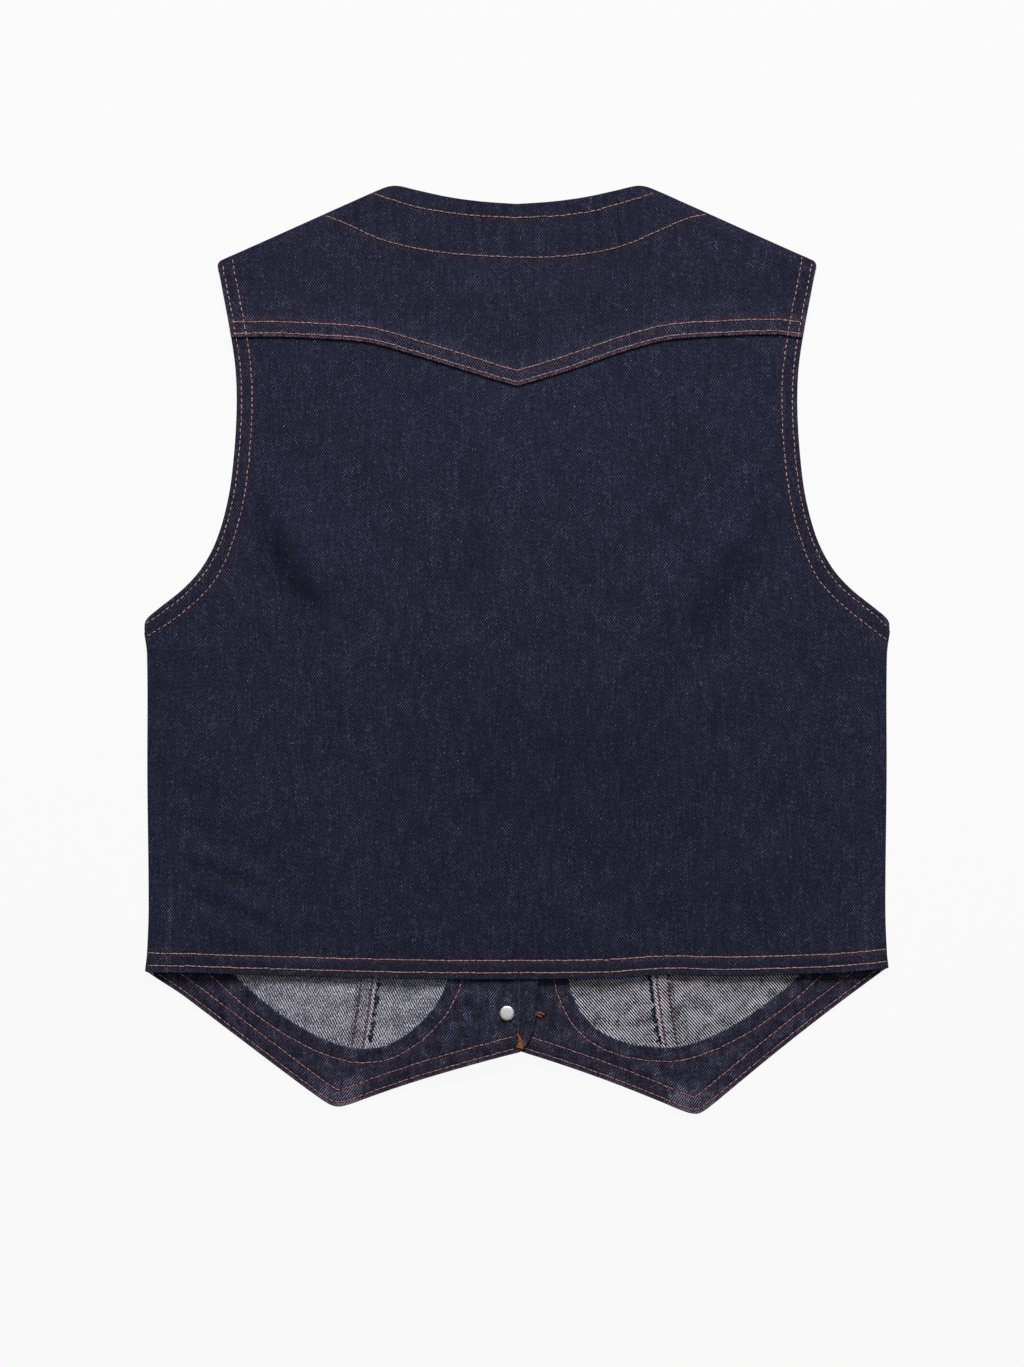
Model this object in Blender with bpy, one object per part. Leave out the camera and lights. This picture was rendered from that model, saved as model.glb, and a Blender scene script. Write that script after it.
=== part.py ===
"""Denim vest lying flat on its buttoned fronts, with its back up.

Metres, +Z up. +Y runs from the hem to the neck and +X to the wearer's right. The origin
lies on the resting surface, under the middle of the garment's outline.
"""
import math
from bisect import bisect_right
from collections import namedtuple

import bmesh
import bpy

for old in list(bpy.data.objects):
    bpy.data.objects.remove(old, do_unlink=True)

# Cloth and sewing
CLOTH = 0.0010
GAP = 0.0003
HEM_WIDTH = 0.0110
HEM_EXTRA = 0.0008
YOKE_LAP = 0.0130
YOKE_SLOPE = 0.0120
SEAM_ROLL = 0.0020
SEAM_HEIGHT = 0.0022
ROLL_ANGLES = tuple(math.radians(degrees) for degrees in (90, 60, 30, 0))

# Edges of the back, as half widths on levels and as levels at distances from the centre
Level = namedtuple("Level", "y half_width")
EdgePoint = namedtuple("EdgePoint", "x y")
SIDE_SEAM = (
    Level(-0.1970, 0.2300),
    Level(-0.1880, 0.2290),
    Level(-0.1600, 0.2280),
    Level(-0.0800, 0.2288),
    Level(-0.0030, 0.2290),
    Level(0.0124, 0.2310),
)
ARMHOLE = (
    Level(0.0124, 0.2310),
    Level(0.0186, 0.2300),
    Level(0.0250, 0.2230),
    Level(0.0372, 0.2077),
    Level(0.0500, 0.1960),
    Level(0.0680, 0.1863),
    Level(0.0930, 0.1792),
    Level(0.1180, 0.1757),
    Level(0.1490, 0.1738),
    Level(0.1740, 0.1745),
    Level(0.1980, 0.1779),
    Level(0.2180, 0.1817),
    Level(0.2406, 0.1860),
)
BACK_HEM = (
    EdgePoint(0.0000, -0.2038),
    EdgePoint(0.0750, -0.2036),
    EdgePoint(0.1350, -0.2022),
    EdgePoint(0.1950, -0.2000),
    EdgePoint(0.2300, -0.1970),
)
YOKE_EDGE = (
    EdgePoint(0.0000, 0.1631),
    EdgePoint(0.0149, 0.1674),
    EdgePoint(0.0446, 0.1767),
    EdgePoint(0.0744, 0.1857),
    EdgePoint(0.0893, 0.1897),
    EdgePoint(0.1042, 0.1916),
    EdgePoint(0.1190, 0.1925),
    EdgePoint(0.1488, 0.1938),
    EdgePoint(0.1800, 0.1934),
)
NECK_AND_SHOULDER = (
    EdgePoint(0.0000, 0.2766),
    EdgePoint(0.0230, 0.2782),
    EdgePoint(0.0430, 0.2809),
    EdgePoint(0.0630, 0.2852),
    EdgePoint(0.0725, 0.2875),
    EdgePoint(0.0775, 0.2878),
    EdgePoint(0.0830, 0.2865),
    EdgePoint(0.1030, 0.2778),
    EdgePoint(0.1530, 0.2554),
    EdgePoint(0.1786, 0.2440),
    EdgePoint(0.1860, 0.2406),
)
UNDERARM = ARMHOLE[0]
SHOULDER_TIP = ARMHOLE[-1]
HEM_CORNER = SIDE_SEAM[0]
NECK_END = 0.0725
SHOULDER_START = 0.0830
SHOULDER_SLOPE = math.radians(24)

# Edges of the fronts: "out" is a distance outboard of the garment's centre line
Front = namedtuple(
    "Front", "name sign tip_out tip_y centre_out centre_y seam_shift side_bow centre_bow"
)
LEFT = Front("left", -1, 0.1130, -0.2862, -0.0019, -0.2490, 0.0020, 0.0000, 0.0023)
RIGHT = Front("right", 1, 0.1122, -0.2908, -0.0130, -0.2443, -0.0010, 0.0024, 0.0026)
HEM_TIP_ROUND = 0.0030
CENTRE_LEAN = 0.0111
CENTRE_LEAN_REACH = 0.010
NECK_BREAK_Y = 0.0620
NECK_BOW = 0.0060
FRONT_NECK_OUT = 0.0800
FRONT_SCOOP = 0.0100
SeamPoint = namedtuple("SeamPoint", "y out")
FRONT_SEAM = (
    SeamPoint(-0.2850, 0.1090),
    SeamPoint(-0.2070, 0.0968),
    SeamPoint(-0.1300, 0.0925),
    SeamPoint(0.0500, 0.0950),
    SeamPoint(0.1600, 0.1080),
    SeamPoint(0.2700, 0.1290),
)

# Inner edge of each facing. A station runs 0 to 1 from the side seam to the hem's tip, to 2
# at the centre front, to 3 where the neck opens and to 4 at the shoulder.
FacingPoint = namedtuple("FacingPoint", "station left_out left_y right_out right_y")
FACING_EDGE = (
    FacingPoint(0.04, 0.2255, -0.1600, 0.2255, -0.1600),
    FacingPoint(0.25, 0.1930, -0.1850, 0.1930, -0.1850),
    FacingPoint(0.50, 0.1620, -0.2140, 0.1640, -0.2118),
    FacingPoint(0.75, 0.1340, -0.2340, 0.1330, -0.2333),
    FacingPoint(1.00, 0.1080, -0.2455, 0.1040, -0.2452),
    FacingPoint(1.25, 0.0860, -0.2466, 0.0800, -0.2458),
    FacingPoint(1.50, 0.0700, -0.2393, 0.0610, -0.2412),
    FacingPoint(1.75, 0.0570, -0.2280, 0.0460, -0.2320),
    FacingPoint(2.00, 0.0465, -0.2130, 0.0355, -0.2160),
    FacingPoint(2.15, 0.0420, -0.1950, 0.0310, -0.1960),
    FacingPoint(2.50, 0.0400, -0.0940, 0.0290, -0.0940),
    FacingPoint(3.00, 0.0380, 0.0750, 0.0280, 0.0750),
    FacingPoint(3.50, 0.0800, 0.1560, 0.0780, 0.1560),
    FacingPoint(3.97, 0.1180, 0.2670, 0.1180, 0.2670),
)
FACING_INSET = 0.0008

# Tack buttons down the centre front, caps on the surface and nail heads on the inside
BUTTON_X = -0.0062
BUTTON_LOWEST_Y = -0.2246
BUTTON_SPACING = 0.0680
BUTTON_COUNT = 5
BUTTON_SIDES = 16
CAP_RADIUS = 0.0086
CAP_HEIGHT = 0.0030
SHANK_RADIUS = 0.0026
NAIL_RADIUS = 0.0012
NAIL_HEAD_RADIUS = 0.0045
NAIL_HEAD_HEIGHT = 0.0014
BUTTONHOLE_LENGTH = 0.0190
BUTTONHOLE_WIDTH = 0.0010

# How the layers lie: the fronts rise over the button caps and the back over both fronts
LAYER = CLOTH + GAP
CAP_RISE = CAP_HEIGHT + GAP
RIDGE_REACH = 0.0750
RIDGE_TOP = 0.0120
RIDGE_END_Y = 0.1500
RIDGE_FADE = 0.0750
OVERLAP_START_X = -0.0850
OVERLAP_RUN = 0.0560
OVERLAP_END_Y = 0.1900
OVERLAP_FADE = 0.0800
BACK_LAY = 0.0034
BACK_HUMP = 0.0070
HUMP_REACH = 0.1050
HUMP_END_Y = 0.2100
HUMP_FADE = 0.1200

# Largest soft folds of the back: a ridge where the rise is positive, a trough where it isn't
Fold = namedtuple("Fold", "x0 y0 x1 y1 half_width rise")
FOLDS = (
    Fold(-0.154, 0.084, -0.124, 0.038, 0.015, -0.0012),
    Fold(-0.176, 0.060, -0.146, 0.016, 0.020, 0.0014),
    Fold(0.164, 0.081, 0.122, 0.032, 0.015, -0.0012),
    Fold(0.180, 0.058, 0.140, 0.010, 0.020, 0.0014),
    Fold(-0.205, -0.204, -0.168, -0.150, 0.034, 0.0018),
    Fold(0.205, -0.204, 0.176, -0.150, 0.030, 0.0015),
    Fold(0.070, 0.060, 0.095, -0.120, 0.036, 0.0010),
    Fold(-0.085, 0.100, -0.110, -0.060, 0.036, 0.0009),
    Fold(0.000, 0.215, 0.000, 0.290, 0.046, -0.0022),
)

# Grid lines of the panels, as fractions of the way across or up
HEM_STEP = (0.95 * HEM_WIDTH, 1.15 * HEM_WIDTH)
BACK_COLUMNS = 23
BACK_MARGIN = 0.075
BACK_SEAM_ROWS = 10
YOKE_ROWS = (0.66, 0.82)
FRONT_HEM_ROWS = (0, 0.008, 0.02, 0.045)
FRONT_SEAM_START = 0.09
FRONT_SEAM_ROWS = 8
SIDE_PANEL_COLUMNS = (0.12, 0.27, 0.42, 0.57, 0.71, 0.86, 0.95, 1)
CENTRE_PANEL_COLUMNS = 12
FacingRun = namedtuple("FacingRun", "end_station rows")
FACING_RUNS = (FacingRun(1, 9), FacingRun(2, 9), FacingRun(2.15, 4), FacingRun(3, 8), FacingRun(3.97, 8))
FACING_COLUMNS = 6
TINY = 1e-6

# Colours are linear
Finish = namedtuple("Finish", "name colour roughness metallic")
INDIGO_DENIM = Finish("indigo denim", (0.0130, 0.0155, 0.0330, 1.0), 0.90, 0.0)
DENIM_REVERSE = Finish("denim reverse", (0.2300, 0.2350, 0.2500, 1.0), 0.90, 0.0)
NICKEL = Finish("nickel plated steel", (0.6200, 0.6200, 0.6100, 1.0), 0.35, 1.0)

Line = namedtuple("Line", "fraction inset angle")
Edges = namedtuple("Edges", "bottom top left right")


def blend(start, end, fraction):
    return start + (end - start) * fraction


def spread(first, last, count):
    return [blend(first, last, index / (count - 1)) for index in range(count)]


def bow(height, fraction):
    """Height of a shallow arc at a fraction of the way along it, and nothing beyond its ends."""
    return 4 * height * max(fraction * (1 - fraction), 0.0)


def smooth_step(value):
    t = min(max(value, 0.0), 1.0)
    return t * t * (3.0 - 2.0 * t)


def smooth(table, at):
    """Read a cubic curve through the table's rows, at a value of its first column."""
    keys = [row[0] for row in table]
    last = len(table) - 1
    low = min(max(bisect_right(keys, at) - 1, 0), last - 1)
    step = keys[low + 1] - keys[low]
    t = (at - keys[low]) / step

    def slope(index, column):
        before = max(index - 1, 0)
        after = min(index + 1, last)
        return (table[after][column] - table[before][column]) / (keys[after] - keys[before])

    values = []
    for column in range(1, len(table[0])):
        start = table[low][column]
        end = table[low + 1][column]
        values.append(
            start * (1 + 2 * t) * (1 - t) ** 2
            + end * t * t * (3 - 2 * t)
            + step * slope(low, column) * t * (1 - t) ** 2
            - step * slope(low + 1, column) * t * t * (1 - t)
        )
    return values[0] if len(values) == 1 else values


def half_width(y):
    return smooth(SIDE_SEAM if y <= UNDERARM.y else ARMHOLE, y)


def front_half_width(y):
    """The fronts share the back's side seams and are scooped a little deeper at the armholes."""
    along = (y - UNDERARM.y) / (SHOULDER_TIP.y - UNDERARM.y)
    scoop = FRONT_SCOOP * math.sin(math.pi * along) if along > 0 else 0.0
    return half_width(y) - scoop


def fold_rise(x, y):
    total = 0.0
    for fold in FOLDS:
        along_x = fold.x1 - fold.x0
        along_y = fold.y1 - fold.y0
        t = ((x - fold.x0) * along_x + (y - fold.y0) * along_y) / (along_x ** 2 + along_y ** 2)
        t = min(max(t, 0.0), 1.0)
        distance = math.hypot(x - fold.x0 - t * along_x, y - fold.y0 - t * along_y)
        total += fold.rise * math.exp(-((distance / fold.half_width) ** 2))
    return total


def back_top(x, y):
    """Height of the back's outer face where it lies on the fronts."""
    hump = smooth_step(1 - abs(x - BUTTON_X) / HUMP_REACH) * smooth_step((HUMP_END_Y - y) / HUMP_FADE)
    return BACK_LAY + CLOTH + BACK_HUMP * hump + fold_rise(x, y)


def front_underside(front, x, y):
    """Height of a front's outer face: flat on the surface, raised over the caps and the overlap."""
    ridge = smooth_step((RIDGE_REACH - abs(x - BUTTON_X)) / (RIDGE_REACH - RIDGE_TOP))
    height = CAP_RISE * ridge * smooth_step((RIDGE_END_Y - y) / RIDGE_FADE)
    if front is LEFT:
        overlap = smooth_step((x - OVERLAP_START_X) / OVERLAP_RUN)
        height += 2 * LAYER * overlap * smooth_step((OVERLAP_END_Y - y) / OVERLAP_FADE)
    return height


def front_hem_y(front, out):
    """Pointed hem of a front: two slightly bowed edges that meet in a rounded tip."""
    side = (out - front.tip_out) / (HEM_CORNER.half_width - front.tip_out)
    side_y = blend(front.tip_y, HEM_CORNER.y, side) + bow(front.side_bow, side)
    centre = (out - front.tip_out) / (front.centre_out - front.tip_out)
    centre_y = blend(front.tip_y, front.centre_y, centre) + bow(front.centre_bow, centre)
    return (side_y + centre_y) / 2 + math.hypot((side_y - centre_y) / 2, HEM_TIP_ROUND)


def front_seam_out(front, y):
    return smooth(FRONT_SEAM, y) + front.seam_shift


def front_seam_end(front, edge_y):
    """Where the front seam runs into an edge, given as a level at each distance out."""
    out = front.tip_out
    for _ in range(8):
        out = front_seam_out(front, edge_y(out))
    return out


def front_tip_out(front):
    return front_seam_end(front, lambda out: front_hem_y(front, out))


def front_seam_top_out(front):
    return front_seam_end(front, shoulder_y)


def shoulder_y(out):
    return smooth(NECK_AND_SHOULDER, out)


def centre_bottom_y(front):
    return front_hem_y(front, front.centre_out)


def centre_edge_out(front, y):
    """Centre front edge with its eased lower corner, then the neck edge up to the shoulder."""
    height = min(y, NECK_BREAK_Y) - centre_bottom_y(front)
    out = front.centre_out - CENTRE_LEAN * (1 - math.exp(-height / CENTRE_LEAN_REACH))
    if y > NECK_BREAK_Y:
        along = (y - NECK_BREAK_Y) / (shoulder_y(FRONT_NECK_OUT) - NECK_BREAK_Y)
        out = blend(out, FRONT_NECK_OUT, along) - bow(NECK_BOW, along)
    return out


def front_edge(front, station):
    """Point (out, y) of a front's edge at a facing station."""
    if station <= 2:
        tip_out = front_tip_out(front)
        if station <= 1:
            out = blend(HEM_CORNER.half_width, tip_out, station)
        else:
            out = blend(tip_out, front.centre_out, station - 1)
        return out, front_hem_y(front, out)
    if station <= 3:
        y = blend(centre_bottom_y(front), NECK_BREAK_Y, station - 2)
    else:
        y = blend(NECK_BREAK_Y, shoulder_y(FRONT_NECK_OUT), station - 3)
    return centre_edge_out(front, y), y


def patch_point(edges, u, v):
    """Point of the four-sided patch that fills in between its edge curves."""
    bottom, top, left, right = edges.bottom(u), edges.top(u), edges.left(v), edges.right(v)
    corners = edges.left(0), edges.right(0), edges.left(1), edges.right(1)
    weights = (1 - u) * (1 - v), u * (1 - v), (1 - u) * v, u * v
    point = []
    for axis in range(2):
        ruled = blend(bottom[axis], top[axis], v) + blend(left[axis], right[axis], u)
        point.append(ruled - sum(weight * corner[axis] for weight, corner in zip(weights, corners)))
    return point


def cloth_grid(edges, rows, columns, skin):
    """Outer and inner points of a panel on a grid of lines; skin gives both for one place."""
    outer = []
    inner = []
    for row in rows:
        width = math.dist(edges.left(row.fraction), edges.right(row.fraction))
        pairs = []
        for column in columns:
            height = math.dist(edges.bottom(column.fraction), edges.top(column.fraction))
            u = column.fraction + column.inset / width
            v = row.fraction + row.inset / height
            x, y = patch_point(edges, u, v)
            pairs.append(skin(x, y, row, column))
        outer.append([pair[0] for pair in pairs])
        inner.append([pair[1] for pair in pairs])
    return outer, inner


def seam_lines(fraction):
    """Grid lines round a rolled seam, from the seam inwards."""
    inwards = 1 if fraction == 0 else -1
    return [Line(fraction, inwards * SEAM_ROLL * (1 - math.sin(angle)), angle) for angle in ROLL_ANGLES]


def flat_lines(fractions):
    return [Line(fraction, 0.0, 0.0) for fraction in fractions]


def turned_under(line):
    return line.fraction in (0, 1) and abs(line.inset) < HEM_WIDTH


def wall(x, y, outer_z, seam_z, thickness, angle, inwards):
    """Outer and inner point of cloth that turns by an angle towards the seam at its edge.

    A positive thickness goes up from the outer face, a negative one down.
    """
    z = blend(outer_z, seam_z, 1 - math.cos(angle))
    across = abs(thickness) * math.sin(angle)
    inner = (x + inwards[0] * across, y + inwards[1] * across, z + thickness * math.cos(angle))
    return (x, y, z), inner


def shoulder_inwards(x):
    return math.copysign(math.sin(SHOULDER_SLOPE), -x), -math.cos(SHOULDER_SLOPE)


def finish_material(finish):
    material = bpy.data.materials.get(finish.name) or bpy.data.materials.new(finish.name)
    material.use_nodes = True
    shader = material.node_tree.nodes["Principled BSDF"]
    shader.inputs["Base Color"].default_value = finish.colour
    shader.inputs["Roughness"].default_value = finish.roughness
    shader.inputs["Metallic"].default_value = finish.metallic
    return material


def add_object(name, shape, finish=None):
    bmesh.ops.recalc_face_normals(shape, faces=shape.faces)
    mesh = bpy.data.meshes.new(name)
    shape.to_mesh(mesh)
    shape.free()
    piece = bpy.data.objects.new(name, mesh)
    bpy.context.scene.collection.objects.link(piece)
    if finish:
        mesh.materials.append(finish_material(finish))
        mesh.shade_smooth()
        mesh.set_sharp_from_angle(angle=math.radians(40))
    return piece


def add_cloth(name, outer, inner, finish):
    """Close two skins of points into one wall with a rim all round."""
    shape = bmesh.new()
    skins = [[[shape.verts.new(point) for point in row] for row in skin] for skin in (outer, inner)]
    for skin in skins:
        for near, far in zip(skin, skin[1:]):
            for index in range(len(near) - 1):
                shape.faces.new((near[index], near[index + 1], far[index + 1], far[index]))
    rims = []
    for skin in skins:
        rims.append(
            skin[0]
            + [row[-1] for row in skin[1:-1]]
            + skin[-1][::-1]
            + [row[0] for row in skin[-2:0:-1]]
        )
    for index in range(len(rims[0])):
        after = (index + 1) % len(rims[0])
        shape.faces.new((rims[0][index], rims[0][after], rims[1][after], rims[1][index]))
    return add_object(name, shape, finish)


def back_columns():
    start = seam_lines(0) + [Line(0, inset, 0.0) for inset in HEM_STEP]
    end = [Line(1 - line.fraction, -line.inset, line.angle) for line in reversed(start)]
    return start + flat_lines(spread(BACK_MARGIN, 1 - BACK_MARGIN, BACK_COLUMNS)) + end


def back_edge(low_y, high_y, sign):
    def point(v):
        y = blend(low_y, high_y, v)
        return sign * half_width(y), y
    return point


def across_back(table, side_y, lift=0.0):
    reach = half_width(side_y)

    def point(u):
        x = (2 * u - 1) * reach
        return x, smooth(table, abs(x)) + lift
    return point


def add_back_body():
    """Lower back, hemmed at the bottom and armholes, run up under the yoke."""
    low_y = HEM_CORNER.y
    yoke_side_y = YOKE_EDGE[-1].y
    high_y = yoke_side_y + YOKE_LAP
    edges = Edges(
        across_back(BACK_HEM, low_y),
        across_back(YOKE_EDGE, high_y, YOKE_LAP),
        back_edge(low_y, high_y, -1),
        back_edge(low_y, high_y, 1),
    )
    levels = spread(low_y, UNDERARM.y, BACK_SEAM_ROWS)[1:]
    levels += [row.y for row in ARMHOLE[1:] if row.y < yoke_side_y] + [yoke_side_y, high_y]
    rows = [Line(0, inset, 0.0) for inset in (0.0,) + HEM_STEP]
    rows += flat_lines([(y - low_y) / (high_y - low_y) for y in levels])
    seam_end = (UNDERARM.y - low_y) / (high_y - low_y) + TINY

    def skin(x, y, row, column):
        on_seam = row.fraction <= seam_end
        hemmed = (row.fraction == 0 and turned_under(row)) or (turned_under(column) and not on_seam)
        return wall(
            x,
            y,
            back_top(x, y),
            SEAM_HEIGHT + GAP / 2,
            -CLOTH - (HEM_EXTRA if hemmed else 0.0),
            column.angle if on_seam else 0.0,
            (math.copysign(1, -x), 0),
        )

    add_cloth("back_body", *cloth_grid(edges, rows, back_columns(), skin), INDIGO_DENIM)


def add_back_yoke():
    """Pointed yoke from the neck and shoulders down over the top of the lower back."""
    low_y = YOKE_EDGE[-1].y
    high_y = SHOULDER_TIP.y
    edges = Edges(
        across_back(YOKE_EDGE, low_y),
        across_back(NECK_AND_SHOULDER, high_y),
        back_edge(low_y, high_y, -1),
        back_edge(low_y, high_y, 1),
    )
    lap_top = YOKE_LAP + GAP
    rows = [Line(0, inset, 0.0) for inset in (0.0, lap_top, lap_top + YOKE_SLOPE)]
    rows += flat_lines(YOKE_ROWS) + seam_lines(1)[::-1]

    def skin(x, y, row, column):
        lapped = row.fraction == 0 and row.inset <= lap_top
        on_shoulder = smooth_step((abs(x) - NECK_END) / (SHOULDER_START - NECK_END))
        return wall(
            x,
            y,
            back_top(x, y) + (LAYER if lapped else 0.0),
            SEAM_HEIGHT + GAP / 2,
            -CLOTH - (HEM_EXTRA if turned_under(column) and not lapped else 0.0),
            row.angle * on_shoulder,
            shoulder_inwards(x),
        )

    add_cloth("back_yoke", *cloth_grid(edges, rows, back_columns(), skin), INDIGO_DENIM)


def front_curve(front, curve):
    """Turn a curve of (out, y) points into one of (x, y) points on that front's side."""
    def point(t):
        out, y = curve(t)
        return front.sign * out, y
    return point


def front_seam_edge(front, offset):
    low_y = front_hem_y(front, front_tip_out(front))
    high_y = shoulder_y(front_seam_top_out(front))

    def point(v):
        y = blend(low_y, high_y, v)
        return front_seam_out(front, y) + offset, y
    return front_curve(front, point)


def shoulder_edge(front, start_out, end_out):
    def point(u):
        out = blend(start_out, end_out, u)
        return out, shoulder_y(out)
    return front_curve(front, point)


def hem_edge(front, start_out, end_out):
    def point(u):
        out = blend(start_out, end_out, u)
        return out, front_hem_y(front, out)
    return front_curve(front, point)


def front_skin(front, seam_end):
    def skin(x, y, row, column):
        on_seam = row.fraction <= seam_end
        angle = max(row.angle, column.angle if on_seam else 0.0)
        inwards = (-front.sign, 0) if column.angle and on_seam else shoulder_inwards(x)
        return wall(x, y, front_underside(front, x, y), SEAM_HEIGHT - GAP / 2, CLOTH, angle, inwards)
    return skin


def side_fraction(y):
    """Level as a fraction of the way up a front's side, from the hem corner to the shoulder tip."""
    return (y - HEM_CORNER.y) / (SHOULDER_TIP.y - HEM_CORNER.y)


def front_rows(front):
    """Grid lines across both panels of a front, the same in each so that their seam edges agree."""
    low_y = centre_bottom_y(front)
    neck_break = (NECK_BREAK_Y - low_y) / (shoulder_y(FRONT_NECK_OUT) - low_y)
    side_seam = spread(FRONT_SEAM_START, side_fraction(UNDERARM.y), FRONT_SEAM_ROWS)
    armhole = [side_fraction(row.y) for row in ARMHOLE[1:-1]]
    nearest = min(armhole, key=lambda fraction: abs(fraction - neck_break))
    armhole[armhole.index(nearest)] = neck_break
    return flat_lines([*FRONT_HEM_ROWS, *side_seam, *armhole]) + seam_lines(1)[::-1]


def add_front_side(front):
    """Side panel of a front, from the side seam and armhole to the front seam."""
    seam_top = front_seam_top_out(front) + GAP / 2

    def side(v):
        y = blend(HEM_CORNER.y, SHOULDER_TIP.y, v)
        return front_half_width(y), y

    edges = Edges(
        hem_edge(front, HEM_CORNER.half_width, front_tip_out(front) + GAP / 2),
        shoulder_edge(front, SHOULDER_TIP.half_width, seam_top),
        front_curve(front, side),
        front_seam_edge(front, GAP / 2),
    )
    columns = seam_lines(0) + flat_lines(SIDE_PANEL_COLUMNS)
    seam_end = side_fraction(UNDERARM.y) + TINY
    grid = cloth_grid(edges, front_rows(front), columns, front_skin(front, seam_end))
    add_cloth("front_side_" + front.name, *grid, DENIM_REVERSE)


def add_front_centre(front):
    """Centre panel of a front, from the front seam to the buttoned edge and the open neck."""
    seam_top = front_seam_top_out(front) - GAP / 2

    def centre(v):
        y = blend(centre_bottom_y(front), shoulder_y(FRONT_NECK_OUT), v)
        return centre_edge_out(front, y), y

    edges = Edges(
        hem_edge(front, front_tip_out(front) - GAP / 2, front.centre_out),
        shoulder_edge(front, seam_top, FRONT_NECK_OUT),
        front_seam_edge(front, -GAP / 2),
        front_curve(front, centre),
    )
    columns = flat_lines(spread(0, 1, CENTRE_PANEL_COLUMNS))
    grid = cloth_grid(edges, front_rows(front), columns, front_skin(front, -1))
    return add_cloth("front_centre_" + front.name, *grid, DENIM_REVERSE)


def add_front_facing(front):
    """Facing on the inside of a front, along its hem, centre edge and neck."""
    stations = [FACING_EDGE[0].station]
    for run in FACING_RUNS:
        stations += spread(stations[-1], run.end_station, run.rows + 1)[1:]
    lower = []
    upper = []
    for station in stations:
        values = smooth(FACING_EDGE, station)
        inner_edge = values[:2] if front is LEFT else values[2:]
        outer_edge = front_edge(front, station)
        start = FACING_INSET / math.dist(outer_edge, inner_edge)
        low_row = []
        high_row = []
        for across in spread(start, 1, FACING_COLUMNS):
            x = front.sign * blend(outer_edge[0], inner_edge[0], across)
            y = blend(outer_edge[1], inner_edge[1], across)
            z = front_underside(front, x, y) + LAYER
            low_row.append((x, y, z))
            high_row.append((x, y, z + CLOTH))
        lower.append(low_row)
        upper.append(high_row)
    return add_cloth("front_facing_" + front.name, upper, lower, INDIGO_DENIM)


def button_centres():
    return [(BUTTON_X, BUTTON_LOWEST_Y + index * BUTTON_SPACING) for index in range(BUTTON_COUNT)]


def add_button(number, centre):
    """Turned cap, shank, nail and nail head, riveted into one through the cloth."""
    shank_top = CAP_RISE + 2 * LAYER - GAP
    head_foot = CAP_RISE + 4 * LAYER
    profile = (
        (0.82 * CAP_RADIUS, 0.0),
        (0.96 * CAP_RADIUS, 0.2 * CAP_HEIGHT),
        (CAP_RADIUS, 0.5 * CAP_HEIGHT),
        (0.93 * CAP_RADIUS, 0.8 * CAP_HEIGHT),
        (0.72 * CAP_RADIUS, CAP_HEIGHT),
        (SHANK_RADIUS, CAP_HEIGHT),
        (SHANK_RADIUS, shank_top),
        (NAIL_RADIUS, shank_top),
        (NAIL_RADIUS, head_foot),
        (NAIL_HEAD_RADIUS, head_foot),
        (NAIL_HEAD_RADIUS, head_foot + 0.35 * NAIL_HEAD_HEIGHT),
        (0.80 * NAIL_HEAD_RADIUS, head_foot + 0.80 * NAIL_HEAD_HEIGHT),
        (0.40 * NAIL_HEAD_RADIUS, head_foot + NAIL_HEAD_HEIGHT),
    )
    shape = bmesh.new()
    rings = []
    for radius, z in profile:
        ring = []
        for side in range(BUTTON_SIDES):
            turn = 2 * math.pi * side / BUTTON_SIDES
            place = (centre[0] + radius * math.cos(turn), centre[1] + radius * math.sin(turn), z)
            ring.append(shape.verts.new(place))
        rings.append(ring)
    for low, high in zip(rings, rings[1:]):
        for side in range(BUTTON_SIDES):
            after = (side + 1) % BUTTON_SIDES
            shape.faces.new((low[side], low[after], high[after], high[side]))
    shape.faces.new(rings[0])
    shape.faces.new(rings[-1])
    add_object("button_%d" % number, shape, NICKEL)


def hole_outline(radius, slit_length, slit_width):
    """Round eye, with a slit running from it away from the centre edge."""
    half_slit = slit_width / 2
    start = math.asin(half_slit / radius) if slit_length else 0.0
    turns = spread(start, 2 * math.pi - start, BUTTON_SIDES + 1)
    if not slit_length:
        turns = turns[:-1]
    outline = [(radius * math.cos(turn), radius * math.sin(turn)) for turn in turns]
    if slit_length:
        outline += [(slit_length, -half_slit), (slit_length, half_slit)]
    return outline


def cut_button_holes(pieces, name, outline):
    """Cut the same holes at every button through each of the pieces."""
    shape = bmesh.new()
    top_z = CAP_RISE + 6 * LAYER
    for centre in button_centres():
        rings = []
        for z in (CAP_HEIGHT / 2, top_z):
            rings.append([shape.verts.new((centre[0] + x, centre[1] + y, z)) for x, y in outline])
        for index in range(len(outline)):
            after = (index + 1) % len(outline)
            shape.faces.new((rings[0][index], rings[0][after], rings[1][after], rings[1][index]))
        for ring in rings:
            shape.faces.new(ring)
    cutter = add_object(name, shape)
    cutter.hide_render = True
    cutter.display_type = "WIRE"
    for piece in pieces:
        cut = piece.modifiers.new(name, "BOOLEAN")
        cut.operation = "DIFFERENCE"
        cut.solver = "EXACT"
        cut.object = cutter


add_back_body()
add_back_yoke()
for front in (LEFT, RIGHT):
    add_front_side(front)
left_layers = [add_front_centre(LEFT), add_front_facing(LEFT)]
right_layers = [add_front_centre(RIGHT), add_front_facing(RIGHT)]
for number, centre in enumerate(button_centres(), start=1):
    add_button(number, centre)
cut_button_holes(left_layers, "nail_holes", hole_outline(NAIL_RADIUS + GAP, 0, 0))
cut_button_holes(
    right_layers,
    "buttonholes",
    hole_outline(SHANK_RADIUS + GAP, BUTTONHOLE_LENGTH, BUTTONHOLE_WIDTH),
)
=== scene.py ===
"""Denim vest lying flat on its buttoned fronts, dressed in finished cloth, thread and metal."""
import math
from collections import namedtuple
from functools import partial

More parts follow.
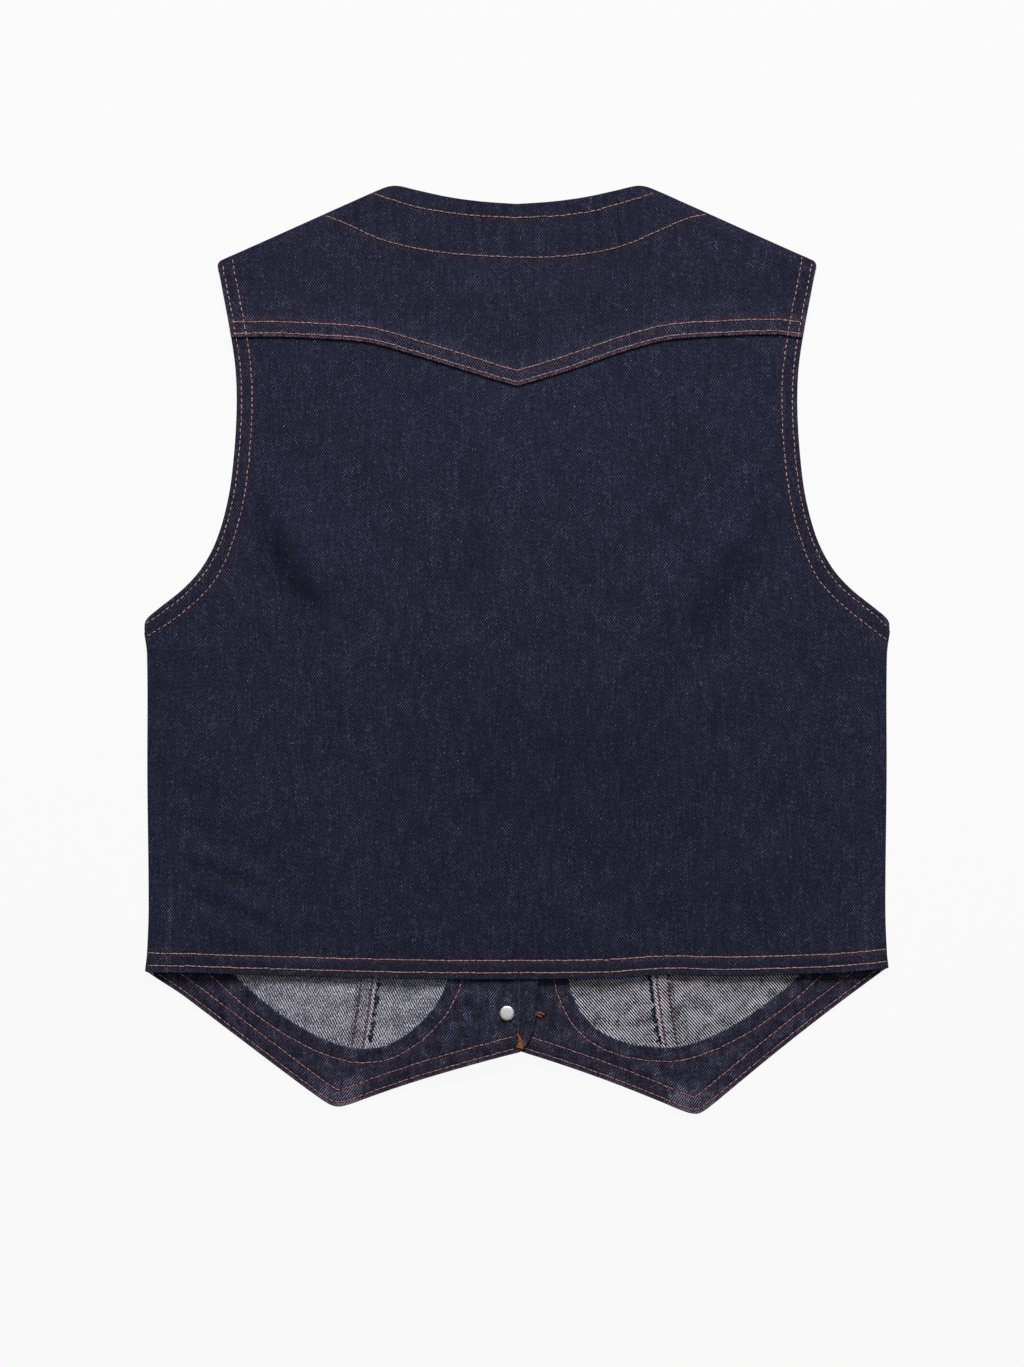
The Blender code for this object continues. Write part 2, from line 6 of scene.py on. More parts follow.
import bpy
import numpy as np
from mathutils import Matrix, Vector
from mathutils.bvhtree import BVHTree


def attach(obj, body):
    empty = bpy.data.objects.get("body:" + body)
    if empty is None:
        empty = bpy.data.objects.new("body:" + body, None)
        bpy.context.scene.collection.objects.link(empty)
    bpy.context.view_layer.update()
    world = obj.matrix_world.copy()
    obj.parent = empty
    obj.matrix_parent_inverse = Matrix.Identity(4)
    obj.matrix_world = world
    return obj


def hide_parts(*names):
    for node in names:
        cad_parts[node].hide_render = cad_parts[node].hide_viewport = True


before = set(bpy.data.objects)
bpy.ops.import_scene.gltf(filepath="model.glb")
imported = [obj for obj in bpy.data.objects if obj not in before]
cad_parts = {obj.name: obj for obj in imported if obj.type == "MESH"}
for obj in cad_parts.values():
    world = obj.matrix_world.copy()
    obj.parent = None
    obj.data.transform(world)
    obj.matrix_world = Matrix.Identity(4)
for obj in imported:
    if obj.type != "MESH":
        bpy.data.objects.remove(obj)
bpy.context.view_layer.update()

# Front panels
# Each front is a side panel and a centre panel of heavy right-hand twill denim, sewn together
# down the front seam. They lie face down, so their pale reverse shows below the back hem.
MM = 0.001
CLOTH = 0.0008
LAYER = 0.0013
SEAM_GAP = 0.0003
SIDE_SEAM = np.array((  # y, half width
    (-197, 230), (-188, 229), (-160, 228), (-80, 228.8), (-3, 229), (12.4, 231),
)) * MM
ARMHOLE = np.array((  # y, half width
    (12.4, 231), (18.6, 230), (25, 223), (37.2, 207.7), (50, 196), (68, 186.3), (93, 179.2),
    (118, 175.7), (149, 173.8), (174, 174.5), (198, 177.9), (218, 181.7), (240.6, 186),
)) * MM
NECK_AND_SHOULDER = np.array((  # distance from the centre, y
    (0, 276.6), (23, 278.2), (43, 280.9), (63, 285.2), (72.5, 287.5), (77.5, 287.8), (83, 286.5),
    (103, 277.8), (153, 255.4), (178.6, 244), (186, 240.6),
)) * MM
HEM_CORNER_Y, HEM_CORNER_OUT = SIDE_SEAM[0]
UNDERARM_Y = ARMHOLE[0][0]
SHOULDER_TIP_Y, SHOULDER_TIP_OUT = ARMHOLE[-1]
Front = namedtuple(
    "Front", "name sign tip_out tip_y centre_out centre_y seam_shift side_bow centre_bow corner_drop"
)
LEFT = Front("left", -1, 0.113, -0.2862, -0.0019, -0.249, 0.002, 0.0, 0.0023, 0.0022)
RIGHT = Front("right", 1, 0.1122, -0.2908, -0.013, -0.2443, -0.001, 0.0024, 0.0026, 0.0)
Ramp = namedtuple("Ramp", "start run height", defaults=(1.0,))
CORNER_DROP_RUN = Ramp(0.205, 0.025)
HEM_TIP_ROUND = 0.003
CENTRE_LEAN = 0.0111
CENTRE_LEAN_REACH = 0.01
NECK_BREAK_Y = 0.062
NECK_BOW = 0.006
FRONT_NECK_OUT = 0.08
FRONT_SCOOP = 0.01
TIP_ROUND = 0.0022
FRONT_TIP_DROP = 0.003
FRONT_TIP_RUN = Ramp(0.1704, 0.012)
FRONT_SEAM = np.array((  # y, distance from the centre
    (-285, 109), (-207, 96.8), (-130, 92.5), (50, 95), (160, 108), (270, 129),
)) * MM
BUTTON_X = -0.0062
CAP_RIDGE = Ramp(0.075, -0.063, 0.0033)
RIDGE_END = Ramp(0.15, -0.075)
OVERLAP = Ramp(-0.085, 0.056, 2 * LAYER)
OVERLAP_END = Ramp(0.19, -0.08)
SIDE_ROLL = 0.002
SIDE_ROLL_HEIGHT = 0.00205
FRONT_SPACING = 0.0026
SEAM_END_ROUNDS = 8
PANEL_FLAT = {"side": (0.135, 0.53, 0.058), "centre": (0.125, 0.58, 0.056)}  # width, length, area


def mix(start, end, fraction):
    return start + (end - start) * fraction


def soft(value):
    """Smooth step from 0 to 1."""
    t = np.clip(value, 0.0, 1.0)
    return t * t * (3 - 2 * t)


def ramp(value, slope):
    """Smooth step from 0 at a slope's start to its height a run further on, or back if negative."""
    return slope.height * soft((value - slope.start) / slope.run)


def bow(height, fraction):
    return 4 * height * np.maximum(fraction * (1 - fraction), 0.0)


def smooth(table, at):
    """Cubic curve through the table's rows, read at values of its first column."""
    keys, values = np.array(table, float)[:, :2].T
    order = np.arange(len(keys))
    before, after = np.maximum(order - 1, 0), np.minimum(order + 1, order[-1])
    slopes = (values[after] - values[before]) / (keys[after] - keys[before])
    low = np.clip(np.searchsorted(keys, at, side="right") - 1, 0, order[-1] - 1)
    step = keys[low + 1] - keys[low]
    t = (at - keys[low]) / step
    return (
        values[low] * (1 + 2 * t) * (1 - t) ** 2
        + values[low + 1] * t * t * (3 - 2 * t)
        + step * slopes[low] * t * (1 - t) ** 2
        - step * slopes[low + 1] * t * t * (1 - t)
    )


def half_width(y):
    return np.where(y <= UNDERARM_Y, smooth(SIDE_SEAM, y), smooth(ARMHOLE, y))


def front_half_width(y):
    """The fronts share the side seams and are scooped a little deeper at the armholes."""
    along = np.clip((y - UNDERARM_Y) / (SHOULDER_TIP_Y - UNDERARM_Y), 0, 1)
    return half_width(y) - FRONT_SCOOP * np.sin(np.pi * along)


def shoulder_y(out):
    """Neck and shoulder edge, rounded off at the shoulder tip."""
    past = np.clip((out - SHOULDER_TIP_OUT) / TIP_ROUND + 1, 0, 1)
    return smooth(NECK_AND_SHOULDER, out) - TIP_ROUND * (1 - np.sqrt(1 - past ** 2))


def front_hem_y(front, out):
    """Pointed hem: two slightly bowed edges that meet in a rounded tip."""
    side = (out - front.tip_out) / (HEM_CORNER_OUT - front.tip_out)
    side_y = mix(front.tip_y, HEM_CORNER_Y, side) + bow(front.side_bow, side)
    side_y = side_y - front.corner_drop * ramp(out, CORNER_DROP_RUN)
    centre = (out - front.tip_out) / (front.centre_out - front.tip_out)
    centre_y = mix(front.tip_y, front.centre_y, centre) + bow(front.centre_bow, centre)
    return (side_y + centre_y) / 2 + np.hypot((side_y - centre_y) / 2, HEM_TIP_ROUND)


def front_seam_out(front, y):
    return smooth(FRONT_SEAM, y) + front.seam_shift


def front_seam_end(front, edge_y):
    out = front.tip_out
    for _ in range(SEAM_END_ROUNDS):
        out = front_seam_out(front, edge_y(out))
    return out


def front_tip_out(front):
    return front_seam_end(front, lambda out: front_hem_y(front, out))


def centre_edge_out(front, y):
    """Centre front edge with its eased lower corner, then the neck edge up to the shoulder."""
    height = np.minimum(y, NECK_BREAK_Y) - front_hem_y(front, front.centre_out)
    out = front.centre_out - CENTRE_LEAN * (1 - np.exp(-height / CENTRE_LEAN_REACH))
    along = (y - NECK_BREAK_Y) / (shoulder_y(FRONT_NECK_OUT) - NECK_BREAK_Y)
    return np.where(along > 0, mix(out, FRONT_NECK_OUT, along) - bow(NECK_BOW, along), out)


def front_underside(front, x, y):
    """Height of a front's outer face: flat on the surface, raised over the caps and the overlap."""
    height = ramp(abs(x - BUTTON_X), CAP_RIDGE) * ramp(y, RIDGE_END)
    if front is LEFT:
        height = height + ramp(x, OVERLAP) * ramp(y, OVERLAP_END)
    return height


def patch(edges, u, v):
    """Points of the four-sided patch that fills in between its edge curves."""
    bottom, top, left, right = (
        np.array(np.broadcast_arrays(*curve(at)))
        for curve, at in zip(edges, (u, u, v, v))
    )
    corners = [np.array(edges[side](end)).reshape(2, 1, 1) for side in (0, 1) for end in (0.0, 1.0)]
    ruled = mix(bottom, top, v) + mix(left, right, u)
    return ruled - mix(mix(corners[0], corners[1], u), mix(corners[2], corners[3], u), v)


def add_grid(name, x, y, z):
    """Sheet through rows of points, with its faces looking up."""
    rows, columns = x.shape
    bpy.ops.object.select_all(action="DESELECT")
    bpy.ops.mesh.primitive_grid_add(x_subdivisions=columns - 1, y_subdivisions=rows - 1, size=1)
    piece = bpy.context.object
    piece.name = name
    piece.data.name = name
    piece.data.vertices.foreach_set("co", np.stack((x, y, z), axis=-1).astype(np.float32).ravel())
    piece.data.update()
    if sum(face.normal.z * face.area for face in piece.data.polygons) < 0:
        piece.data.flip_normals()
    return piece


def paint(piece, attribute, values):
    """Store one number at each point, for a material to read."""
    layer = piece.data.attributes.new(attribute, "FLOAT", "POINT")
    layer.data.foreach_set("value", np.asarray(values, np.float32).ravel())


def thicken(piece, thickness, upper, lower, lower_rim=False):
    """Give a sheet its thickness below, with a finish on its upper skin and on its lower one."""
    piece.data.materials.append(upper)
    piece.data.materials.append(lower)
    wall = piece.modifiers.new("wall", "SOLIDIFY")
    wall.thickness = thickness
    wall.offset = -1
    wall.material_offset = 1
    wall.material_offset_rim = int(lower_rim)
    bpy.context.view_layer.objects.active = piece
    bpy.ops.object.modifier_apply(modifier=wall.name)
    piece.data.shade_smooth()


def colour(code):
    """Linear colour from an sRGB hex code."""
    parts = [int(code[place:place + 2], 16) / 255 for place in (1, 3, 5)]
    return [c / 12.92 if c <= 0.04045 else ((c + 0.055) / 1.055) ** 2.4 for c in parts] + [1.0]


def set_inputs(node, inputs):
    """Set a node's inputs, by name or number, or link them to sockets or nodes."""
    for key, value in dict(inputs).items():
        if isinstance(value, bpy.types.Node):
            value = value.outputs[0]
        if isinstance(value, bpy.types.NodeSocket):
            node.id_data.links.new(value, node.inputs[key])
        else:
            node.inputs[key].default_value = value


def add_node(tree, kind, inputs=(), **settings):
    """Add a shader node with its settings and its inputs."""
    node = tree.nodes.new("ShaderNode" + kind)
    for name, value in settings.items():
        setattr(node, name, value)
    set_inputs(node, inputs)
    return node


def new_material(name):
    """Material, the function that adds a node to it, and its surface shader."""
    material = bpy.data.materials.new(name)
    material.use_nodes = True
    tree = material.node_tree
    return material, partial(add_node, tree), tree.nodes["Principled BSDF"]


# Raw denim is a three-to-one twill of indigo warp over undyed weft. The face shows dark warp with
# pale glints of weft between its diagonal ribs, the reverse pale weft with dark gaps of warp.
# Ribs lie about 1.4 mm apart, and the yarns in them vary in thickness, so the cloth looks streaky.
YARN_MM = (0.6, 1.4)
GLINT_MM = (0.8, 2.6)
STREAK_MM = (6.0, 13.0)
SLUB_MM = (1.0, 24.0)
CHOICE_MM = (7.0, 11.0)
FLECK_MM = (0.9, 1.5)
DRIFT_MM = 5.0
WAVE_TURNS = 2 * math.pi / 20  # scale at which a wave texture has one band to a unit
CHOICE_RANGE = (0.42, 0.58)
VIGOUR_RANGE = (0.35, 0.65)
GLINT_RANGE = (0.98, 1.38)
FLECK_RUN = 0.14
WEAR_AND_PAINTED_LIGHT_TONE = 0.45
TONE_STOPS = (0.05, 0.5, 1.0)
ROW_DYE = "#37232b"
TWILL_DEPTH = 0.0003
Denim = namedtuple(
    "Denim",
    "name dark middle light glint fleck spacing lean cross drift vigour ribs glints yarn slub cloud"
    " cloud_mm fleck_from bump",
)
FACE = Denim(
    "raw denim face", "#111323", "#171a2a", "#393c50", "#64677c", "#7e8090",
    1.36, 54, (0.28, 0.72), 0.3, (0.62, 1.42), 0.86, 1.6, 0.74, 0.42, 0.24, (40.0, 34.0), 0.7, 0.5,
)
FACING = FACE._replace(
    name="raw denim facing", light="#494c61", glint="#80839a", spacing=1.3, cross=(0.0, 0.12),
    vigour=(0.45, 1.3), ribs=0.9, glints=1.2, cloud=0.85, cloud_mm=(9.0, 9.0),
)
REVERSE_LEFT = Denim(
    "raw denim reverse, left", "#1d1d2a", "#605f6d", "#dcdae4", "#dcdae4", "#e6e5ea",
    1.45, -63, (0.0, 0.5), 0.6, (0.8, 1.2), 0.7, 0.6, 1.6, 0.25, 0.5, (13.0, 9.0), 0.64, 0.6,
)
REVERSE_RIGHT = REVERSE_LEFT._replace(
    name="raw denim reverse, right", dark="#12121c", middle="#1e1d28", light="#d8d6df",
    glint="#d8d6df", lean=-49, cross=(0.0, 0.15), drift=0.3, ribs=1.1, glints=0.5, yarn=1.2,
    cloud=1.0, fleck_from=0.72,
)


def denim(look):
    material, node, shader = new_material(look.name)
    place = node("TexCoord").outputs["Object"]
    mm = node("VectorMath", {0: place, 1: (1 / MM,) * 3}, operation="MULTIPLY")
    drift = node("TexNoise", {"Vector": mm, "Scale": 1 / DRIFT_MM, "Detail": 2}).outputs["Color"]
    aside = (look.drift, look.drift, 0)
    uneven = node("VectorMath", {0: drift, 1: aside, 2: mm}, operation="MULTIPLY_ADD")

    def ribs(degrees):
        turned = node("Mapping", {"Vector": uneven, "Rotation": (0, 0, math.radians(90 - degrees))})
        wave = node("TexWave", {"Vector": turned, "Scale": WAVE_TURNS / look.spacing}).outputs["Fac"]
        drawn = node("Mapping", {"Vector": turned, "Scale": (1 / GLINT_MM[0], 1 / GLINT_MM[1], 0)})
        glints = node("TexNoise", {"Vector": drawn, "Scale": 1, "Detail": 1})
        return node("Math", {0: glints, 1: look.glints, 2: wave}, operation="MULTIPLY_ADD")

    def grain(size, detail):
        scaled = node("Mapping", {"Vector": mm, "Scale": (1 / size[0], 1 / size[1], 0)})
        return node("TexNoise", {"Vector": scaled, "Scale": 1, "Detail": detail})

    # The wear attribute holds real wear and also painted light and shade, darker or paler where each
    # piece paints it.
    wear = node("Attribute", attribute_name="wear").outputs["Fac"]
    # The inputs of a MapRange node in order: a value, the range it lies in, the range it is moved to.
    choice = node("MapRange", enumerate((grain(CHOICE_MM, 1), *CHOICE_RANGE, *look.cross)))
    twill = node("Mix", {0: choice, 2: ribs(look.lean), 3: ribs(-look.lean)})
    twill = node("Math", {0: twill, 1: 0.5 + 0.5 * look.glints}, operation="SUBTRACT")
    vigour = node("MapRange", enumerate((grain(STREAK_MM, 2), *VIGOUR_RANGE, *look.vigour)))
    vigour = node("Math", {0: wear, 1: vigour}, operation="ADD")
    twill = node("Math", {0: twill, 1: vigour}, operation="MULTIPLY")
    balance = 0.5 - 0.5 * (look.yarn + look.slub + look.cloud)
    weave = node("Math", {0: twill, 1: look.ribs, 2: balance}, operation="MULTIPLY_ADD")
    weave = node("Math", {0: grain(YARN_MM, 2), 1: look.yarn, 2: weave}, operation="MULTIPLY_ADD")
    slubs, clouds = grain(SLUB_MM, 2), grain(look.cloud_mm, 3)
    tone = weave
    for layer, share in ((slubs, look.slub), (clouds, look.cloud), (wear, WEAR_AND_PAINTED_LIGHT_TONE)):
        tone = node("Math", {0: layer, 1: share, 2: tone}, operation="MULTIPLY_ADD")
    shades = node("ValToRGB", {"Fac": tone})
    stops = shades.color_ramp.elements
    stops[0].position, stops[0].color = TONE_STOPS[0], colour(look.dark)
    stops[1].position, stops[1].color = TONE_STOPS[2], colour(look.light)
    stops.new(TONE_STOPS[1]).color = colour(look.middle)
    bright = node("MapRange", enumerate((tone, *GLINT_RANGE)))
    shining = node("Mix", {0: bright, 6: shades, 7: colour(look.glint)}, data_type="RGBA").outputs[2]
    fleck_range = (look.fleck_from, look.fleck_from + FLECK_RUN)
    spots = node("MapRange", enumerate((grain(FLECK_MM, 1), *fleck_range)))
    flecked = node("Mix", {0: spots, 6: shining, 7: colour(look.fleck)}, data_type="RGBA").outputs[2]
    dye = node("Attribute", attribute_name="dye").outputs["Fac"]
    rows = {0: dye, 6: flecked, 7: colour(ROW_DYE)}
    set_inputs(shader, {
        "Base Color": node("Mix", rows, data_type="RGBA", blend_type="COLOR").outputs[2],
        "Normal": node("Bump", {"Height": weave, "Strength": look.bump, "Distance": TWILL_DEPTH}),
        "Roughness": 0.95,
        "Specular IOR Level": 0.06,
        "Sheen Weight": 0.02,
        "Sheen Roughness": 0.6,
    })
    return material


denim_face = denim(FACE)
denim_facing = denim(FACING)
denim_reverse = {"left": denim(REVERSE_LEFT), "right": denim(REVERSE_RIGHT)}


def add_front_panel(front, part):
    tip_out = front_tip_out(front)
    top_out = front_seam_end(front, shoulder_y)
    gap = SEAM_GAP / 2 if part == "side" else -SEAM_GAP / 2

    def seam(v):
        y = mix(front_hem_y(front, tip_out), shoulder_y(top_out), v)
        return front_seam_out(front, y) + gap, y

    def side(v):
        y = mix(front_hem_y(front, HEM_CORNER_OUT), SHOULDER_TIP_Y - FRONT_TIP_DROP, v)
        return front_half_width(y), y

    def centre(v):
        y = mix(front_hem_y(front, front.centre_out), shoulder_y(FRONT_NECK_OUT), v)
        return centre_edge_out(front, y), y

    outer, inner = (side, seam) if part == "side" else (seam, centre)
    hem_ends = outer(0.0)[0], inner(0.0)[0]
    shoulder_ends = outer(1.0)[0], inner(1.0)[0]

    def hem(u):
        out = mix(*hem_ends, u)
        return out, front_hem_y(front, out)

    def shoulder(u):
        out = mix(*shoulder_ends, u)
        return out, shoulder_y(out) - FRONT_TIP_DROP * ramp(out, FRONT_TIP_RUN)

    width, length, area = PANEL_FLAT[part]
    u, v = np.meshgrid(
        np.linspace(0, 1, int(width / FRONT_SPACING)), np.linspace(0, 1, int(length / FRONT_SPACING))
    )
    out, y = patch((hem, shoulder, outer, inner), u, v)
    x = front.sign * out
    z = front_underside(front, x, y) + CLOTH
    if part == "side":
        inset = np.clip(u * width / SIDE_ROLL, 0, 1)
        roll = SIDE_ROLL_HEIGHT * (1 - np.sqrt(1 - (1 - inset) ** 2))
        z = z + np.where(y <= UNDERARM_Y, roll, 0)
    piece = add_grid("cloth_front_%s_%s" % (part, front.name), x, y, z)
    thicken(piece, CLOTH, denim_reverse[front.name], denim_face, lower_rim=True)
    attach(piece, "root")
    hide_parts("front_%s_%s" % (part, front.name))
    return piece


front_panels = {}
for front in (LEFT, RIGHT):
    front_panels[front] = [add_front_panel(front, part) for part in ("side", "centre")]

# Seam allowances
# Inside each front seam both raw edges are pressed towards the centre and held by two rows of
# stitches. The upper one shows its pale reverse and ends in frayed dark warp threads.
ALLOWANCE = 0.012
ALLOWANCE_START = -0.0004
ALLOWANCE_RISE = 0.0012
ALLOWANCE_EASE = 0.0016
ALLOWANCE_SHORT = 0.004
ALLOWANCE_LIFT = 0.0001
ALLOWANCE_WALL = 0.8 * ALLOWANCE_RISE
ALLOWANCE_SPACING = (0.0009, 0.0015)  # across, along
ALLOWANCE_FLAT = (0.0125, 0.56)
RAGGED = 0.0004
RAGGED_TURNS = (2100, 770)
FLUFF = {"left": 0.35, "right": 0.9}
FLUFF_REACH = 0.0045
FLUFF_SHADE = 0.06
FLUFF_DYE = (0.03, 0.22)


def fading(distance, reach):
    """Share that falls from 1 on a line to almost nothing at twice the reach from it."""
    return np.exp(-((distance / reach) ** 2))


def allowance_rise(across):
    """Height of the pressed seam at a distance past the seam line towards the centre."""
    return ALLOWANCE_RISE * soft(across / ALLOWANCE_EASE)


def add_allowance(front):
    across = np.linspace(ALLOWANCE_START, ALLOWANCE, int(ALLOWANCE / ALLOWANCE_SPACING[0]))[None, :]
    low = front_hem_y(front, front_tip_out(front) - across) + ALLOWANCE_SHORT
    high = shoulder_y(front_seam_end(front, shoulder_y) - across) - ALLOWANCE_SHORT
    y = mix(low, high, np.linspace(0, 1, int(ALLOWANCE_FLAT[1] / ALLOWANCE_SPACING[1]))[:, None])
    ragged = RAGGED * np.sin(y * RAGGED_TURNS[0]) * np.sin(y * RAGGED_TURNS[1])
    x = front.sign * (front_seam_out(front, y) - across - ragged * (across == across.max()))
    z = front_underside(front, x, y) + CLOTH + ALLOWANCE_LIFT + allowance_rise(across)
    piece = add_grid("cloth_seam_allowance_" + front.name, x, y, z)
    fluff = FLUFF[front.name] * fading(ALLOWANCE - across, FLUFF_REACH) + 0 * x
    paint(piece, "wear", fluff - FLUFF_SHADE)
    paint(piece, "dye", FLUFF_DYE[0] + FLUFF_DYE[1] * fluff)
    thicken(piece, ALLOWANCE_WALL, denim_reverse[front.name], denim_reverse[front.name])
    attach(piece, "root")
    return piece


for front in (LEFT, RIGHT):
    front_panels[front].append(add_allowance(front))

# Front facings
# A shaped denim facing is sewn to each front's hem, centre edge and neck, turned to the inside
# with its face up, and left raw along its inner edge. It rides over the pressed front seam.
FACING_EDGE = np.array((  # station, left out, left y, right out, right y
    (0.04, 225.5, -160, 225.5, -160), (0.25, 193, -185, 193, -185), (0.5, 162, -214, 164, -211.8),
    (0.75, 134, -234, 133, -233.3), (1, 108, -245.5, 104, -245.2), (1.25, 86, -246.6, 80, -245.8),
    (1.5, 70, -239.3, 61, -241.2), (1.75, 57, -228, 46, -232), (2, 46.5, -213, 35.5, -216),
    (2.15, 42, -195, 31, -196), (2.5, 40, -94, 29, -94), (3, 38, 75, 28, 75), (3.5, 80, 156, 78, 156),
    (3.97, 118, 267, 118, 267),
)) * (1, MM, MM, MM, MM)
FACING_ROWS = (0.0028, 0.0104)
FACING_INNER_ROW = 0.0087
INNER_ROW_STATIONS = (0.1, 2.6, 400)  # first, last, count
INNER_ROW_DRIFT = {"left": 0.0024, "right": 0.0012}
INNER_ROW_DRIFT_RUN = Ramp(0.9, -0.9)
FACING_HEM_END = 1.99
FACING_SHOWN_END = 2.3
FACING_STEPS = (210, 90, 40)  # along what shows, along the rest, across
FACING_SEAM_END = Ramp(ALLOWANCE + 0.0022, -0.0022)
FACING_RIPPLE = Ramp(0.02, -0.012, 0.00022)
FACING_RIPPLE_LENGTH = 0.013
FACING_LOWEST = 0.0002
FACING_DYE = 0.12
FACING_ROW_SHADE = 0.15
FACING_EDGE_WEAR = (0.3, 0.001)  # share, reach
FACING_EDGE_WEAR_END = 1.95
FACING_RAW_WEAR = (0.3, 0.0008)
FACING_TIP_WEAR = (0.6, 0.019)
FACING_SEAM_WEAR = Ramp(-0.262, -0.01, 0.35)
EDGE_TURN = 0.001
PRESSED = 0.6
STITCH_SINK = 0.00028
STITCH_PULL = 0.0011
DYE_SHARE = 0.9
RIPPLES = ((0.6, 2 * math.pi, 1.0), (0.4, 9.1, 2.3))  # share, rate, share of the phase
EDGE_STEPS = np.concatenate((np.arange(-0.0011, 0.0016, 0.0003), np.arange(0.0017, 0.0135, 0.0007)))


def turn(distance, radius):
    """How far in from a folded edge, and how far below the top, cloth lies at a distance along it."""
    angle = np.clip(distance / radius, -math.pi / 2, math.pi / 2)
    flat = np.maximum(abs(distance) - radius * math.pi / 2, 0)
    return PRESSED * radius * (1 - np.cos(angle)) + flat, radius * (1 - np.sin(angle))


def pulled(distance, rows=(0.0,)):
    """Share of the pull that rows of stitches, at these distances from a line, have on cloth."""
    return sum((fading(distance - row, STITCH_PULL) for row in rows), 0 * distance)


def worn_at(distance, wear):
    """Wear along a line, from its share and its reach."""
    share, reach = wear
    return share * fading(distance, reach)


def dyed(pull):
    """Share of the thread's colour that shows on cloth beside stitches."""
    return DYE_SHARE * np.sqrt(np.minimum(pull, 1))


def ripple(along, length, phase=0.0):
    """Uneven small waves from two lengths that never fall in step."""
    return sum(share * np.sin(rate * along / length + late * phase) for share, rate, late in RIPPLES)


def beside(x, y, x0, y0, x1, y1):
    """How far each point lies along the line between two points, from 0 to 1, and how far off it."""
    along_x, along_y = x1 - x0, y1 - y0
    t = np.clip(((x - x0) * along_x + (y - y0) * along_y) / (along_x ** 2 + along_y ** 2), 0, 1)
    return t, x - x0 - t * along_x, y - y0 - t * along_y


def distance_to(line, x, y):
    """Distance of each point from a line of points."""
    nearest = np.full(x.shape, 1.0)
    for start, end in zip(line[:-1], line[1:]):
        _, off_x, off_y = beside(x, y, *start, *end)
        nearest = np.minimum(nearest, np.hypot(off_x, off_y))
    return nearest


def offset(line, distance):
    """Line of points moved sideways, to the left of its direction."""
    step = np.gradient(line, axis=0)
    step /= np.linalg.norm(step, axis=1)[:, None]
    return line + np.reshape(distance, (-1, 1)) * np.stack((-step[:, 1], step[:, 0]), axis=1)


def front_edge(front, station):
    """Points of a front's edge: side 0, hem tip 1, centre front 2, neck opening 3, shoulder 4."""
    tip_out = front_tip_out(front)
    side_out = mix(HEM_CORNER_OUT, tip_out, station)
    out = np.where(station <= 1, side_out, mix(tip_out, front.centre_out, station - 1))
    low = front_hem_y(front, front.centre_out)
    y = np.where(
        station <= 3,
        mix(low, NECK_BREAK_Y, station - 2),
        mix(NECK_BREAK_Y, shoulder_y(FRONT_NECK_OUT), station - 3),
    )
    on_hem = station <= 2
    out = np.where(on_hem, out, centre_edge_out(front, np.maximum(y, low)))
    return np.stack((front.sign * out, np.where(on_hem, front_hem_y(front, out), y)), axis=-1)


def facing_edge(front, station):
    """Points of a facing's raw inner edge."""
    first = 1 if front is LEFT else 3
    out, y = (smooth(FACING_EDGE[:, [0, column]], station) for column in (first, first + 1))
    return np.stack((front.sign * out, y), axis=-1)


def facing_inner_row(front):
    """Line of the stitches along a facing's raw edge, further from it towards the side seam."""
    station = np.linspace(*INNER_ROW_STATIONS)
    drift = INNER_ROW_DRIFT[front.name] * ramp(station, INNER_ROW_DRIFT_RUN)
    return offset(facing_edge(front, station), front.sign * (FACING_INNER_ROW + drift))


def add_facing(front):
    shown = np.linspace(FACING_EDGE[0][0], FACING_SHOWN_END, FACING_STEPS[0])
    hidden = np.linspace(FACING_SHOWN_END, FACING_EDGE[-1][0], FACING_STEPS[1])[1:]
    stations = np.concatenate((shown, hidden))
    edge, raw = front_edge(front, stations), facing_edge(front, stations)
    inset, drop = turn(EDGE_STEPS, EDGE_TURN)
    near = inset[None, :] / np.linalg.norm(raw - edge, axis=1)[:, None]
    even = np.linspace(0, 1, FACING_STEPS[2])[1:][None, :]
    share = np.concatenate((near, mix(near[:, -1:], 1.0, even)), axis=1)
    x, y = np.moveaxis(edge[:, None, :] + share[..., None] * (raw - edge)[:, None, :], -1, 0)
    from_edge = distance_to(edge, x, y)
    from_hem = distance_to(edge[stations < FACING_HEM_END], x, y)
    across = front_seam_out(front, np.maximum(y, FRONT_SEAM[0][0])) - front.sign * x
    over_seam = allowance_rise(across) * ramp(across, FACING_SEAM_END)
    pull = pulled(from_hem, FACING_ROWS) + pulled(distance_to(facing_inner_row(front), x, y))
    waves = ripple(x * front.sign - y, FACING_RIPPLE_LENGTH, front.sign)
    waves *= ramp(from_edge, FACING_RIPPLE)
    z = front_underside(front, x, y) + LAYER + CLOTH + over_seam - STITCH_SINK * pull + waves
    z[:, :len(drop)] -= drop
    z = np.maximum(z, FACING_LOWEST)
    piece = add_grid("cloth_facing_" + front.name, x, y, z)
    worn = worn_at(from_edge, FACING_EDGE_WEAR) * (stations < FACING_EDGE_WEAR_END)[:, None]
    worn += worn_at(distance_to(raw, x, y), FACING_RAW_WEAR)
    worn += worn_at(np.hypot(x - front.sign * front.tip_out, y - front.tip_y), FACING_TIP_WEAR)
    worn += over_seam / ALLOWANCE_RISE * ramp(y, FACING_SEAM_WEAR)
    # Painted shade: the cloth is darkened beside its rows of stitches, where they draw it down.
    paint(piece, "wear", worn - FACING_ROW_SHADE * pull)
    paint(piece, "dye", np.maximum(FACING_DYE, dyed(pull)))
    thicken(piece, CLOTH, denim_facing, denim_reverse[front.name])
    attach(piece, "root")
    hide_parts("front_facing_" + front.name)
    return piece


for front in (LEFT, RIGHT):
    front_panels[front].append(add_facing(front))

